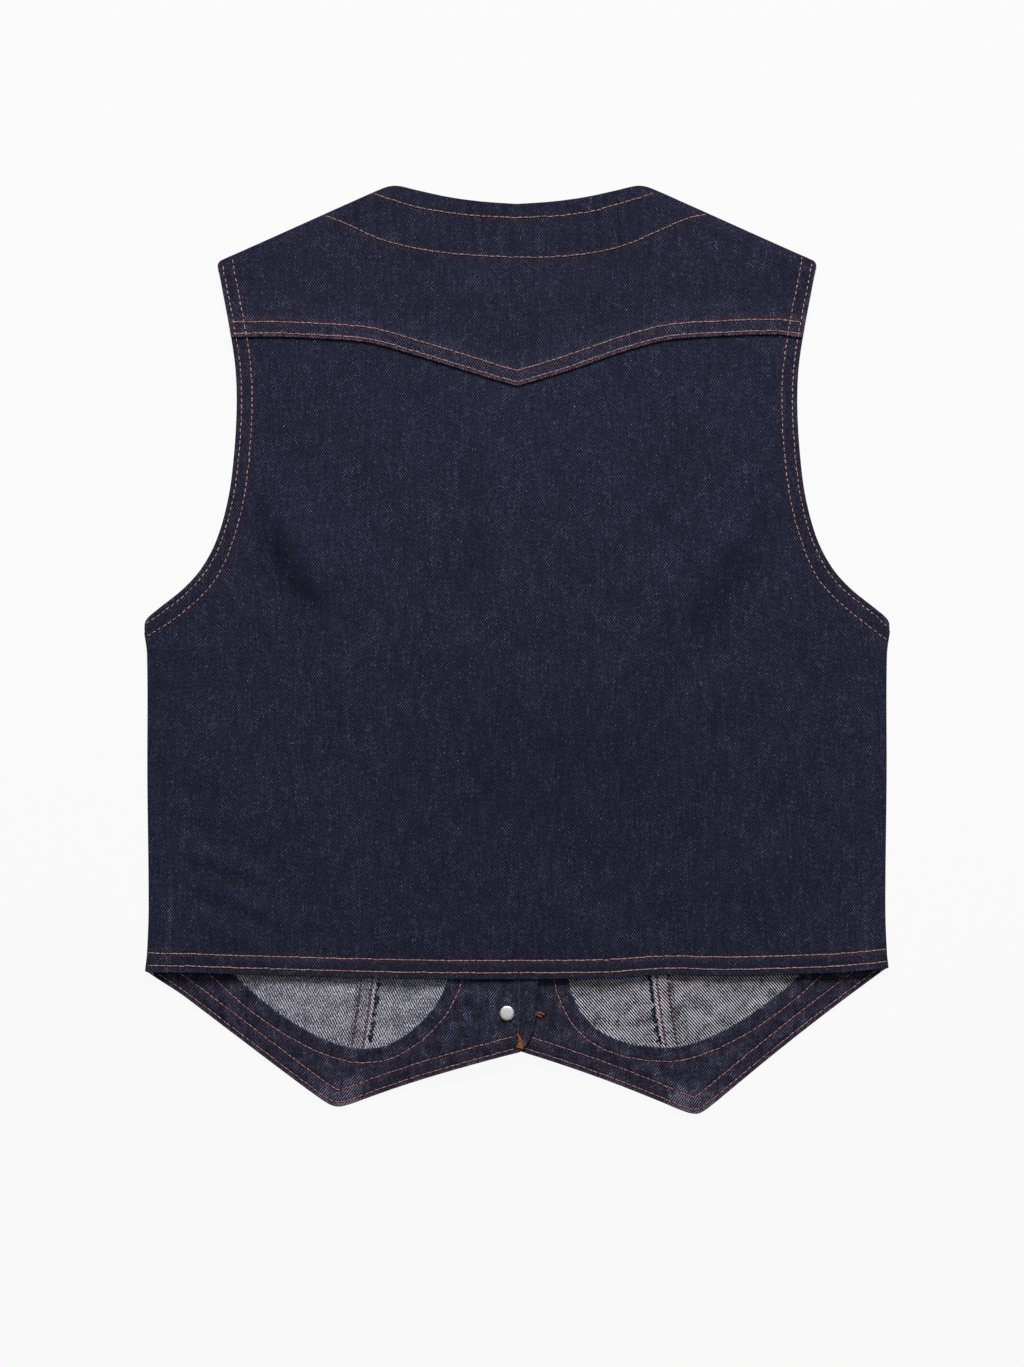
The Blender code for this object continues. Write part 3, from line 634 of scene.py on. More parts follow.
# Tack buttons
# Five two-piece jeans buttons down the centre front: a stamped cap on a shank, held by a tack that
# is driven through the cloth. The caps lie underneath, and the tacks' satin heads show inside.
BUTTON_LOWEST_Y = -0.2246
BUTTON_SPACING = 0.068
BUTTONS = 5
BUTTON_SIDES = 40
BUTTON_SHARP = 50
SCUFFS_PER_MM = 1.4
BUTTON_PROFILE = np.array((  # radius, height
    (4.6, 0.6), (5.2, 0.3), (6.2, 0), (7.4, 0.1), (8.2, 0.6), (8.6, 1.4), (8.3, 2.2), (7.4, 2.8),
    (6, 3), (2.8, 3), (2.6, 3.1), (2.6, 5.5), (1.3, 5.6), (1.2, 8.5), (4.1, 8.5), (4.5, 8.7),
    (4.6, 9), (4.5, 9.3), (4.3, 9.5), (3.9, 9.64), (2.8, 9.72), (1.4, 9.76),
)) * MM


# Aluminium, stamped and tumbled: a soft satin shine with faint scuffs and no sharp reflections.
def satin_aluminium():
    material, node, shader = new_material("satin aluminium")
    place = node("TexCoord").outputs["Object"]
    scuffs = node("TexNoise", {"Vector": place, "Scale": SCUFFS_PER_MM / MM, "Detail": 3})
    tint = node("ValToRGB", {"Fac": scuffs})
    tint.color_ramp.elements[0].color = colour("#d2d2d2")
    tint.color_ramp.elements[1].color = colour("#f6f6f4")
    set_inputs(shader, {
        "Base Color": tint,
        "Roughness": node("MapRange", {"Value": scuffs, "To Min": 0.4, "To Max": 0.6}),
        "Normal": node("Bump", {"Height": scuffs, "Strength": 0.15, "Distance": 0.0001}),
        "Metallic": 1.0,
    })
    return material


button_metal = satin_aluminium()


def model_button():
    """Turn a button up from its cap, ring by ring, round an axis through the origin."""
    radius, height = BUTTON_PROFILE[0]
    bpy.ops.object.select_all(action="DESELECT")
    bpy.ops.mesh.primitive_circle_add(
        vertices=BUTTON_SIDES, radius=radius, fill_type="NGON", location=(0, 0, height)
    )
    button = bpy.context.object
    bpy.ops.object.mode_set(mode="EDIT")
    for wider, higher in BUTTON_PROFILE[1:]:
        bpy.ops.mesh.extrude_region_move(TRANSFORM_OT_translate={"value": (0, 0, higher - height)})
        share = wider / radius
        bpy.ops.transform.resize(value=(share, share, 1), center_override=(0, 0, higher))
        radius, height = wider, higher
    bpy.ops.mesh.select_all(action="SELECT")
    bpy.ops.mesh.normals_make_consistent(inside=False)
    bpy.ops.object.mode_set(mode="OBJECT")
    bpy.ops.object.transform_apply(location=True, rotation=True, scale=True)
    bpy.ops.object.shade_smooth_by_angle(angle=math.radians(BUTTON_SHARP))
    button.data.materials.append(button_metal)
    return button


tack_buttons = [model_button()]
for _ in range(BUTTONS - 1):
    bpy.ops.object.duplicate()
    tack_buttons.append(bpy.context.object)
for number, piece in enumerate(tack_buttons, start=1):
    piece.name = "tack_button_%d" % number
    place = (BUTTON_X, BUTTON_LOWEST_Y + (number - 1) * BUTTON_SPACING, 0)
    piece.data.transform(Matrix.Translation(place))
    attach(piece, "root")
    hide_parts("button_%d" % number)

# Lower back
# One wide panel of the same denim, face up, laid over both fronts. Its hem, armholes and side seam
# edges are turned under and pressed, and it settles into a few soft creases under the arms.
TURNED = 0.0105
FOLD = 0.00085
YOKE_LAP = 0.013
BACK_HEM = np.array((  # distance from the centre, y
    (0, -203.8), (75, -203.6), (135, -202.2), (195, -200), (230, -197),
)) * MM
YOKE_EDGE = np.array((  # distance from the centre, y
    (0, 163.1), (14.9, 167.4), (44.6, 176.7), (74.4, 185.7), (89.3, 189.7), (104.2, 191.6),
    (119, 192.5), (148.8, 193.8), (180, 193.4),
)) * MM
HEM_WAVE = 0.0019
HEM_WAVE_X = 0.093
HEM_WAVE_REACH = 0.026
HEM_LEFT_DROP = Ramp(-0.195, -0.035, 0.0022)
YOKE_SKEW = Ramp(0.03, 0.04, 0.0014)
YOKE_SKEW_END = Ramp(0.1745, -0.012)
BACK_LAY = 0.0034
BACK_HUMP = Ramp(0.105, -0.105, 0.007)
HUMP_END = Ramp(0.21, -0.12)
HEM_RIDGE = Ramp(TURNED + 0.0016, -0.003, 0.00045)
PUCKERS = (  # height, length, slant, phase
    (0.00016, 0.0105, 0.0, 0.0), (0.0001, 0.0047, 0.7, 1.7),
)
PUCKER_END = Ramp(0.019, -0.01)
ARMHOLE_ROWS = (0.0031, 0.0096)
ARMHOLE_ROW_DRIFT = (0.0005, 0.0016)
ARMHOLE_ROW_DRIFT_END = Ramp(0.075, -0.03)
ARMHOLE_ROW_ENDS = {-1: (0.016, 0.0082), 1: (0.0141, 0.006)}
ARMHOLE_ROW_END_IN = 0.0006
ARMHOLE_ROW_TOPS = (0.2388, 0.2418)
ARMHOLE_RUN = Ramp(UNDERARM_Y - 0.004, 0.012)
ARMHOLE_PAST = 0.01
ARMHOLE_STEPS = 120
ARMHOLE_DYE = 0.5
SIDE_RELIEF = 0.4
HEM_ROWS = (0.0042, 0.0118)
BACK_SPACING = 0.0023
CREASES = np.array((  # x0, y0, x1, y1, half width on the left, on the right, rise
    (-161, 96, -120, 22, 24, 10, 5.6), (-115, 25, -102, -90, 14, 6, 1.2),
    (-180, 50, -150, 6, 17, 17, 0.8), (159, 87, 96, 4, 13, 26, 4.6), (184, 52, 142, 0, 18, 18, 1),
    (-230, -240, -168, -150, 34, 34, 3), (230, -240, 176, -150, 30, 30, 3),
    (70, 60, 95, -120, 36, 36, 1), (-85, 100, -110, -60, 36, 36, 0.9), (0, 215, 0, 290, 46, 46, -2.2),
    (-31, 130, -30, 36, 6, 6, -0.6), (-8, 125, -8, -40, 8, 6, 0.8),
    (-220, -119, -150, -144, 7, 4.5, 1.6), (-213, -139, -133, -173, 7, 4.5, 1.8),
    (-203, -164, -155, -187, 7, 4.5, 1.2), (-140, -162, -105, -174, 6, 4.5, 0.6),
    (-218, -96, -180, -109, 6, 4.5, 1), (224, -20, 172, -48, 8, 8, 0.5),
    (216, 26, 200, -50, 8, 8, -0.6), (-222, 0, -212, -50, 6, 6, 0.5),
    (4.5, -250, 4.5, -175, 55, 55, -2), (60, -150, 74, -196, 12, 12, 0.6),
    (-50, -160, -44, -198, 10, 10, 0.5), (150, -160, 146, -198, 10, 10, -0.5),
)) * MM
# Painted shade along the far flanks of the two main creases.
SHADES = np.array((  # x0, y0, x1, y1, half width, share
    (-162, 99, -120, 21.5, 6.6, 0.4), (160, 88, 105, 17, 9.2, 0.27),
)) * (MM, MM, MM, MM, MM, 1)
CREASE_END = 0.1
CREASE_FADE = 2.5
SHADE_END_WIDTH = 0.45
TURNED_EDGE_REACH = 0.0014
BACK_EDGE_WEAR = 0.12
# Painted highlight on the folded edges out towards the hem's corners, where the rounded fold catches
# the light.
BACK_CORNER_HIGHLIGHT = Ramp(0.185, 0.03, 0.5)
HEM_ROW_SHADE = 0.12
HEM_BAND_WEAR = (0.1, 0.003)  # share, reach
HEM_BAND_PATCH = 0.021
SIDE_WEAR = (0.3, 0.0012)
SIDE_WEAR_IN = 0.0125
SIDE_WEAR_RUN = Ramp(-0.13, -0.03)
SIDE_WEAR_PATCH = 0.006
# Painted shade: a broad patch low on the back, right of the centre, is darkened.
BACK_SHADED = 0.12
BACK_SHADED_X = (0.045, 0.085)  # middle, reach
BACK_SHADED_Y = (-0.07, 0.055)
# Painted highlight along a line over the soft ridge on the buttons, and painted shade along the
# trough left of it.
PAINTED_RIDGE_LINES = ((-0.006, 0.09), (-0.027, -0.09))  # x, share
PAINTED_RIDGE_REACH = 0.006
PAINTED_RIDGE_RUN = Ramp(0.01, 0.03)
PAINTED_RIDGE_END = Ramp(0.135, -0.03)
TURN_STEPS = np.concatenate((
    np.arange(-TURNED, -0.0018, 0.0026),
    np.arange(-0.0017, 0.0018, 0.0004),
    np.arange(0.0021, 0.015, 0.0008),
))
Lines = namedtuple("Lines", "fraction inset drop under")


def grid_lines(length, spacing, turned_end):
    """Lines over a panel from its turned start to its end: fine near turned edges, even between."""
    inset, drop = turn(TURN_STEPS, FOLD)
    reach = inset[-1]
    even = np.linspace(0, 1, int((length - 2 * reach) / spacing))[1:-1]
    parts = [
        (0 * TURN_STEPS, inset, drop, TURN_STEPS < 0),
        (even, reach * (1 - (1 + turned_end) * even), 0 * even, even < 0),
    ]
    if turned_end:
        parts.append((0 * TURN_STEPS + 1, -inset[::-1], drop[::-1], TURN_STEPS[::-1] < 0))
    else:
        parts.append((np.ones(1), np.zeros(1), np.zeros(1), np.zeros(1, bool)))
    return Lines(*(np.concatenate(part) for part in zip(*parts)))


def panel_points(edges, columns, rows):
    """Places of a panel's grid points, and their distances from its sides, bottom and top."""
    u, v = columns.fraction[None, :], rows.fraction[:, None]
    left, right = np.array(edges[2](v)), np.array(edges[3](v))
    bottom, top = np.array(edges[0](u)), np.array(edges[1](u))
    width = np.linalg.norm(right - left, axis=0)
    height = np.linalg.norm(top - bottom, axis=0)
    u = u + columns.inset[None, :] / width
    v = v + rows.inset[:, None] / height
    x, y = patch(edges, u, v)
    return x, y, np.minimum(u, 1 - u) * width, v * height, (1 - v) * height


def clip_corners(piece, columns, rows):
    """Cut away the corner squares that would be turned under twice, as a maker clips them."""
    doubled = rows.under[:, None] & columns.under[None, :]
    mesh = piece.data
    mesh.polygons.foreach_set("select", np.zeros(len(mesh.polygons), bool))
    mesh.edges.foreach_set("select", np.zeros(len(mesh.edges), bool))
    mesh.vertices.foreach_set("select", doubled.ravel())
    bpy.context.view_layer.objects.active = piece
    bpy.ops.object.mode_set(mode="EDIT")
    bpy.ops.mesh.delete(type="VERT")
    bpy.ops.object.mode_set(mode="OBJECT")


def crease_rise(x, y):
    """Height of the soft creases, lower towards their ends."""
    total = 0 * x
    for x0, y0, x1, y1, left, right, rise in CREASES:
        t, off_x, off_y = beside(x, y, x0, y0, x1, y1)
        width = np.where((x1 - x0) * off_y > (y1 - y0) * off_x, left, right)
        fade = mix(CREASE_END, 1, soft(CREASE_FADE * np.minimum(t, 1 - t)))
        total = total + rise * fade * fading(np.hypot(off_x, off_y), width)
    return total


def crease_shade(x, y):
    """Painted shade: share of the cloth's tone taken away along the main creases' far flanks, fading
    out to their ends.
    """
    total = 0 * x
    for x0, y0, x1, y1, width, share in SHADES:
        t, off_x, off_y = beside(x, y, x0, y0, x1, y1)
        fade = np.sqrt(np.sin(np.pi * t))
        reach = width * mix(SHADE_END_WIDTH, 1, fade)
        total = total + share * fade * fading(np.hypot(off_x, off_y), reach)
    return total


def back_top(x, y):
    """Height of the back's face where it lies on the fronts."""
    hump = ramp(abs(x - BUTTON_X), BACK_HUMP) * ramp(y, HUMP_END)
    return BACK_LAY + CLOTH + hump + crease_rise(x, y)


def turned_relief(distance, along, rows):
    """Raised band over a turned-under edge, drawn in along its stitches and puckered between."""
    puckers = sum(
        height * ripple(along + slant * distance, length, phase)
        for height, length, slant, phase in PUCKERS
    )
    band = ramp(distance, HEM_RIDGE) + puckers * ramp(distance, PUCKER_END)
    return band - STITCH_SINK * pulled(distance, rows)


def armhole_row(sign, row):
    """One of the lines of stitches along an armhole, from the side seam up to the shoulder."""
    y = np.linspace(ARMHOLE[2][0], ARMHOLE_ROW_TOPS[row], ARMHOLE_STEPS)
    edge = np.stack((half_width(y), y), axis=-1)
    drift = ARMHOLE_ROW_DRIFT[row] * ramp(y, ARMHOLE_ROW_DRIFT_END)
    inside = offset(edge, ARMHOLE_ROWS[row] + drift)
    end_y = ARMHOLE_ROW_ENDS[sign][row]
    end = (half_width(np.array(end_y)) - ARMHOLE_ROW_END_IN, end_y)
    return np.concatenate(((end,), inside)) * (sign, 1)


armhole_lines = [armhole_row(sign, row) for sign in (-1, 1) for row in (0, 1)]


def armhole_pull(x, y):
    """Share of the pull that the stitches along both armholes have on cloth."""
    return sum(pulled(distance_to(line, x, y)) for line in armhole_lines)


def back_side(low_y, high_y, sign):
    """Side edge of a panel of the back, as a curve for a patch."""
    def point(v):
        y = mix(low_y, high_y, v)
        return sign * half_width(y), y
    return point


def back_hem_y(x):
    """Bottom edge of the back, with a shallow wave right of the centre, and level at its left end."""
    wave = HEM_WAVE * fading(x - HEM_WAVE_X, HEM_WAVE_REACH)
    return smooth(BACK_HEM, abs(x)) + wave - ramp(x, HEM_LEFT_DROP)


def yoke_edge_y(x):
    """Lower edge of the yoke, sewn a little higher on its right half."""
    return smooth(YOKE_EDGE, abs(x)) + ramp(x, YOKE_SKEW) * ramp(x, YOKE_SKEW_END)


def across_back(level, side_y, lift=0.0):
    """Edge across the back from side to side, as a curve for a patch."""
    reach = float(half_width(side_y))

    def point(u):
        x = (2 * u - 1) * reach
        return x, level(x) + lift
    return point


def patchy(along, length, depth=1.0):
    """Share that varies along a line, and is 1 on average."""
    return 1 + depth * ripple(along, length)


def add_lower_back():
    low_y, high_y = HEM_CORNER_Y, YOKE_EDGE[-1][1] + YOKE_LAP
    edges = (
        across_back(back_hem_y, low_y),
        across_back(yoke_edge_y, high_y, YOKE_LAP),
        back_side(back_hem_y(-HEM_CORNER_OUT), high_y, -1),
        back_side(low_y, high_y, 1),
    )
    columns = grid_lines(2 * HEM_CORNER_OUT, BACK_SPACING, True)
    rows = grid_lines(high_y - low_y, BACK_SPACING, False)
    x, y, from_side, from_hem, _ = panel_points(edges, columns, rows)
    on_armhole = ramp(y, ARMHOLE_RUN)
    armhole_y = np.linspace(UNDERARM_Y, high_y + ARMHOLE_PAST, ARMHOLE_STEPS)
    from_armhole = distance_to(np.stack((half_width(armhole_y), armhole_y), axis=-1), abs(x), y)
    pull, hem_pull = armhole_pull(x, y), pulled(from_hem, HEM_ROWS)
    at_side = turned_relief(from_armhole, y, ()) * on_armhole - STITCH_SINK * pull
    at_side += (1 - on_armhole) * SIDE_RELIEF * turned_relief(from_side, y, ())
    at_hem = turned_relief(from_hem, x, HEM_ROWS)
    z = back_top(x, y) + at_side + at_hem - np.maximum(columns.drop[None, :], rows.drop[:, None])
    piece = add_grid("cloth_back", x, y, z)
    # Wear along the turned edges, and a painted highlight on them out towards both sides.
    at_edge = fading(from_hem, TURNED_EDGE_REACH) + on_armhole * fading(from_side, TURNED_EDGE_REACH)
    worn = (BACK_EDGE_WEAR + ramp(abs(x), BACK_CORNER_HIGHLIGHT)) * at_edge
    worn += worn_at(from_hem - HEM_ROWS[1], HEM_BAND_WEAR) * patchy(x, HEM_BAND_PATCH)
    side_wear = worn_at(from_side - SIDE_WEAR_IN, SIDE_WEAR) * ramp(y, SIDE_WEAR_RUN)
    worn += side_wear * patchy(y, SIDE_WEAR_PATCH)
    # Painted highlight along the ridge over the buttons, and painted shade along the trough left of
    # it.
    pressed = sum(share * fading(x - line, PAINTED_RIDGE_REACH) for line, share in PAINTED_RIDGE_LINES)
    pressed *= ramp(y, PAINTED_RIDGE_RUN) * ramp(y, PAINTED_RIDGE_END)
    # Painted shade: the broad patch, the main creases' far flanks and the cloth beside the hem's
    # stitches are darkened.
    (middle_x, reach_x), (middle_y, reach_y) = BACK_SHADED_X, BACK_SHADED_Y
    shaded = BACK_SHADED * fading(x - middle_x, reach_x) * fading(y - middle_y, reach_y)
    shaded += crease_shade(x, y) + HEM_ROW_SHADE * hem_pull
    paint(piece, "wear", worn + pressed - shaded)
    paint(piece, "dye", dyed(hem_pull + ARMHOLE_DYE * pull))
    clip_corners(piece, columns, rows)
    thicken(piece, CLOTH, denim_face, denim_reverse["left"])
    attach(piece, "root")
    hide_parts("back_body")
    return piece


lower_back = add_lower_back()

# Back yoke
# A pointed western yoke, cut in one piece from armhole to armhole. Its lower edge is turned under
# and lapped over the lower back, and a facing behind the neck shows only by its row of stitches.
YOKE_LIFT = Ramp(YOKE_LAP + 0.009, -0.009, 0.0011)
YOKE_HEIGHT = 0.08
YOKE_RELIEF = 0.7
SHOULDER_RELIEF = 0.5
SHOULDER_SINK = Ramp(0.007, -0.007, 0.0012)
SHOULDER_SINK_RUN = Ramp(0.065, 0.02)
YOKE_ROWS = (0.0024, 0.0094)
YOKE_SPACING = 0.0017
NECK_ROW = np.array((  # distance from the centre, y
    (0, 268), (30.4, 269.7), (60.1, 274), (76, 278.5), (90.5, 283.6),
)) * MM
NECK_SKEW = Ramp(0.045, 0.018, 0.0018)
NECK_ROW_ENDS = (-0.0885, 0.0855)
# Painted light and shade: pale and dark streaks above the neck facing's stitches stand for the small
# puckers that these stitches draw up.
NECK_PUCKER_LIGHT = Ramp(-0.01, 0.012, 0.22)
NECK_PUCKER_LENGTHS = (0.0083, 0.031)
NECK_PUCKER_SLANT = 0.1
YOKE_SHADE = 0.05
YOKE_EDGE_WEAR = (0.45, 0.0026)  # share, reach
YOKE_EDGE_PATCH = (0.0021, 0.9)  # length, depth
YOKE_SIDE_WEAR = (0.4, 0.0014)
YOKE_BAND_WEAR = Ramp(0.015, -0.004, 0.2)
YOKE_BAND_PATCH = (0.019, 0.5)
YOKE_DYE = 0.04
YOKE_EDGE_DYE = Ramp(YOKE_ROWS[0], -0.002, 0.15)
NECK_FACING_ROW = np.array((  # x, y
    (-120.5, 270), (-104.8, 263.7), (-89.9, 256.7), (-75, 251.7), (-45.3, 246.3), (-15.5, 244.2),
    (0, 243.6), (30, 244.3), (58.9, 248.6), (73.8, 253.6), (103.5, 266.6), (119, 270.6),
)) * MM


def neck_row_y(x):
    """Stitches along the neck edge, nearer to it on the right."""
    return smooth(NECK_ROW, np.minimum(abs(x), NECK_ROW[-1][0])) + ramp(x, NECK_SKEW)


def neck_facing_y(x):
    """Stitches that hold the facing behind the neck, level past their ends."""
    return smooth(NECK_FACING_ROW, np.clip(x, NECK_FACING_ROW[0][0], NECK_FACING_ROW[-1][0]))


def add_yoke():
    low_y, high_y = YOKE_EDGE[-1][1], SHOULDER_TIP_Y - TIP_ROUND
    edges = (
        across_back(yoke_edge_y, low_y),
        across_back(lambda x: shoulder_y(abs(x)), SHOULDER_TIP_Y),
        back_side(low_y, high_y, -1),
        back_side(low_y, high_y, 1),
    )
    columns = grid_lines(2 * SHOULDER_TIP_OUT, YOKE_SPACING, True)
    rows = grid_lines(YOKE_HEIGHT, YOKE_SPACING, True)
    x, y, from_side, from_edge, from_top = panel_points(edges, columns, rows)
    lap = ramp(from_edge, YOKE_LIFT)
    above_facing = y - neck_facing_y(x)
    neck_pull = pulled(y - neck_row_y(x)) + pulled(above_facing)
    pull = armhole_pull(x, y)
    z = back_top(x, y) + lap + turned_relief(from_side, y, ()) - STITCH_SINK * (pull + neck_pull)
    z += YOKE_RELIEF * turned_relief(from_edge, x, YOKE_ROWS)
    z += SHOULDER_RELIEF * turned_relief(from_top, x, ())
    z -= ramp(from_top, SHOULDER_SINK) * ramp(abs(x), SHOULDER_SINK_RUN)
    z -= np.maximum(columns.drop[None, :], rows.drop[:, None])
    piece = add_grid("cloth_yoke", x, y, z)
    worn = worn_at(from_edge, YOKE_EDGE_WEAR) * patchy(x, *YOKE_EDGE_PATCH) - YOKE_SHADE
    worn += worn_at(from_side, YOKE_SIDE_WEAR)
    worn += ramp(from_edge, YOKE_BAND_WEAR) * patchy(x, *YOKE_BAND_PATCH)
    # Painted light and shade of the small puckers above the neck facing's stitches.
    fine, wide = NECK_PUCKER_LENGTHS
    drawn = ripple(x + NECK_PUCKER_SLANT * y, fine) * ripple(x, wide, 1.0)
    worn += drawn * ramp(above_facing, NECK_PUCKER_LIGHT)
    paint(piece, "wear", worn)
    dye = pulled(from_edge, YOKE_ROWS) + neck_pull + ARMHOLE_DYE * pull
    dye += ramp(from_edge, YOKE_EDGE_DYE)
    paint(piece, "dye", np.maximum(YOKE_DYE, dyed(dye)))
    clip_corners(piece, columns, rows)
    thicken(piece, CLOTH, denim_face, denim_reverse["left"])
    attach(piece, "root")
    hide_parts("back_yoke")
    return piece


yoke = add_yoke()

# Topstitching
# Twin rows of lockstitch in thick polyester thread hold every turned edge and the seams. Each stitch
# is a short strand that rises out of one needle hole, lies on the cloth and dives into the next.
Strand = namedtuple("Strand", "width height lift")
Stitch = namedtuple("Stitch", "pitch length strand")
LONG_STITCH = Stitch(0.00376, 0.0041, Strand(0.0011, 0.0007, 0.0))
SHORT_STITCH = Stitch(0.00376, 0.004, Strand(0.00086, 0.0006, 0.0))
SEAM_STITCH = Stitch(0.0034, 0.0034, Strand(0.0015, 0.0008, 0.0))
STITCH_RINGS = (  # place along, size, rise
    (-1.0, 0.4, -0.3), (-0.75, 0.8, 0.05), (-0.35, 1.0, 0.25),
    (0.35, 1.0, 0.25), (0.75, 0.8, 0.05), (1.0, 0.4, -0.3),
)
STITCH_SIDES = 8
STITCH_SWAY = 0.0001
STITCH_SHARES = (0.9, 1.05)
FACING_ROW_STATIONS = (0.02, 1.985, 500)  # first, last, count
SEAM_ROWS = (0.0019, 0.0088)
SEAM_ROW_YS = (-0.262, -0.15, 120)  # first, last, count
HEM_ROW_END = 0.2285
YOKE_ROW_END = 0.1756
ROW_SHORT = 0.0018
ROW_STEPS = 400
DROP_FROM = 0.1
FUZZ_PER_MM = 1.1
FUZZ_TONE = 0.9
DASH_RUN = 0.3
DASH_SHADE = 0.9
LIT_RANGE = (1.1, 1.55)
sway = np.random.default_rng(11)


# Spun polyester: three plies twisted together. Painted highlight and shade: each strand's colour is
# pale along its top and dark in its sides and at its ends, where it dives into the cloth; the top
# colour is the painted highlight, the other the painted shade.
def thread(name, top, flank, dash):
    material, node, shader = new_material(name)
    lit = node("Attribute", attribute_name="round").outputs["Fac"]
    tip = node("Attribute", attribute_name="tip").outputs["Fac"]
    place = node("TexCoord").outputs["Object"]
    fuzz = node("TexNoise", {"Vector": place, "Scale": FUZZ_PER_MM / MM, "Detail": 2})
    ends = node("MapRange", enumerate((tip, dash, dash + DASH_RUN, 0.0, -DASH_SHADE)))
    tone = node("Math", {0: lit, 1: ends}, operation="ADD")
    tone = node("Math", {0: fuzz, 1: FUZZ_TONE, 2: tone}, operation="MULTIPLY_ADD")
    share = node("MapRange", enumerate((tone, *LIT_RANGE)))
    tint = node("Mix", {0: share, 6: colour(flank), 7: colour(top)}, data_type="RGBA")
    set_inputs(shader, {
        "Base Color": tint.outputs[2],
        "Normal": node("Bump", {"Height": fuzz, "Strength": 0.4, "Distance": 0.0001}),
        "Roughness": 0.7,
        "Specular IOR Level": 0.2,
    })
    return material


copper_thread = thread("copper facing thread", "#b1a3ad", "#281a20", 0.78)
long_thread = thread("copper hem thread", "#b8a3a7", "#27161b", 0.88)
yoke_thread = thread("copper yoke thread", "#a08f97", "#24151b", 0.84)
neck_thread = thread("copper neck thread", "#978b95", "#22151c", 0.76)
pale_thread = thread("pale topstitch thread", "#b7aebc", "#2a1d22", 0.5)
brown_thread = thread("brown seam thread", "#79656a", "#38282d", 0.5)


def line_lengths(line):
    """Distance of each point of a line from its start, along it."""
    return np.concatenate(([0], np.cumsum(np.linalg.norm(np.diff(line, axis=0), axis=1))))


def along_line(line, at):
    """Points of a line at distances from its start."""
    return np.stack([np.interp(at, line_lengths(line), axis) for axis in line.T], axis=-1)


def drop_on(cloths):
    """Function that gives the height of the top of these cloths at a point."""
    trees = []
    for mesh in (cloth.data for cloth in cloths):
        corners = [face.vertices for face in mesh.polygons]
        trees.append(BVHTree.FromPolygons([point.co for point in mesh.vertices], corners))

    def height(x, y):
        hits = [tree.ray_cast(Vector((x, y, DROP_FROM)), Vector((0, 0, -1)))[0] for tree in trees]
        return max([hit.z for hit in hits if hit] or [0.0])
    return height


def lay_strands(name, ends, cloths, strand, material):
    """Join short strands, each laid from point to point on the cloths under it, into one piece."""
    height = drop_on(cloths)
    verts, faces, rounds, tips = [], [], [], []
    angles = np.arange(STITCH_SIDES) * 2 * math.pi / STITCH_SIDES
    for start, end in ends:
        middle, reach = (start + end) / 2, (end - start) / 2
        aside = np.array((-reach[1], reach[0])) / max(np.linalg.norm(reach), 1e-6)
        first = len(verts)
        for place, size, rise in STITCH_RINGS:
            x, y = middle + reach * place
            z = height(x, y) + rise * strand.height + strand.lift
            for angle in angles:
                sideways = aside * size * strand.width / 2 * math.cos(angle)
                up = size * strand.height / 2 * math.sin(angle)
                verts.append((x + sideways[0], y + sideways[1], z + up))
                rounds.append(math.sin(angle))
                tips.append(abs(place))
        for ring in range(len(STITCH_RINGS) - 1):
            for side in range(STITCH_SIDES):
                a = first + ring * STITCH_SIDES + side
                b = first + ring * STITCH_SIDES + (side + 1) % STITCH_SIDES
                faces.append((a, b, b + STITCH_SIDES, a + STITCH_SIDES))
        last = first + (len(STITCH_RINGS) - 1) * STITCH_SIDES
        faces.append(tuple(range(first + STITCH_SIDES - 1, first - 1, -1)))
        faces.append(tuple(range(last, last + STITCH_SIDES)))
    mesh = bpy.data.meshes.new(name)
    mesh.from_pydata(verts, [], faces)
    mesh.shade_smooth()
    piece = bpy.data.objects.new(name, mesh)
    bpy.context.scene.collection.objects.link(piece)
    paint(piece, "round", rounds)
    paint(piece, "tip", tips)
    mesh.materials.append(material)
    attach(piece, "root")


def sew(name, rows, cloths, stitch, material):
    """Lay rows of stitches, a little uneven in length and line as a machine leaves them."""
    ends = []
    for line in rows:
        total = line_lengths(line)[-1]
        for middle in np.arange(stitch.pitch / 2, total, stitch.pitch):
            reach = stitch.length / 2 * sway.uniform(*STITCH_SHARES)
            start, end = along_line(line, np.clip((middle - reach, middle + reach), 0, total))
            shift = sway.normal(0, STITCH_SWAY, 2)
            ends.append((start + shift, end + shift))
    lay_strands(name, ends, cloths, stitch.strand, material)


def across(level, start, end):
    """Line of points from left to right at the levels that a function gives."""
    x = np.linspace(start, end, ROW_STEPS)
    return np.stack((x, level(x)), axis=-1)


for front in (LEFT, RIGHT):
    cloths = front_panels[front]
    hem = front_edge(front, np.linspace(*FACING_ROW_STATIONS))
    rows = [offset(hem, -front.sign * row) for row in FACING_ROWS]
    rows.append(facing_inner_row(front))
    sew("stitches_facing_" + front.name, rows, cloths, SHORT_STITCH, copper_thread)
    y = np.linspace(*SEAM_ROW_YS)
    seam = np.stack((front.sign * front_seam_out(front, y), y), axis=-1)
    rows = [seam - np.array((front.sign * aside, 0)) for aside in SEAM_ROWS]
    sew("stitches_front_seam_" + front.name, rows, cloths[:3], SEAM_STITCH, brown_thread)

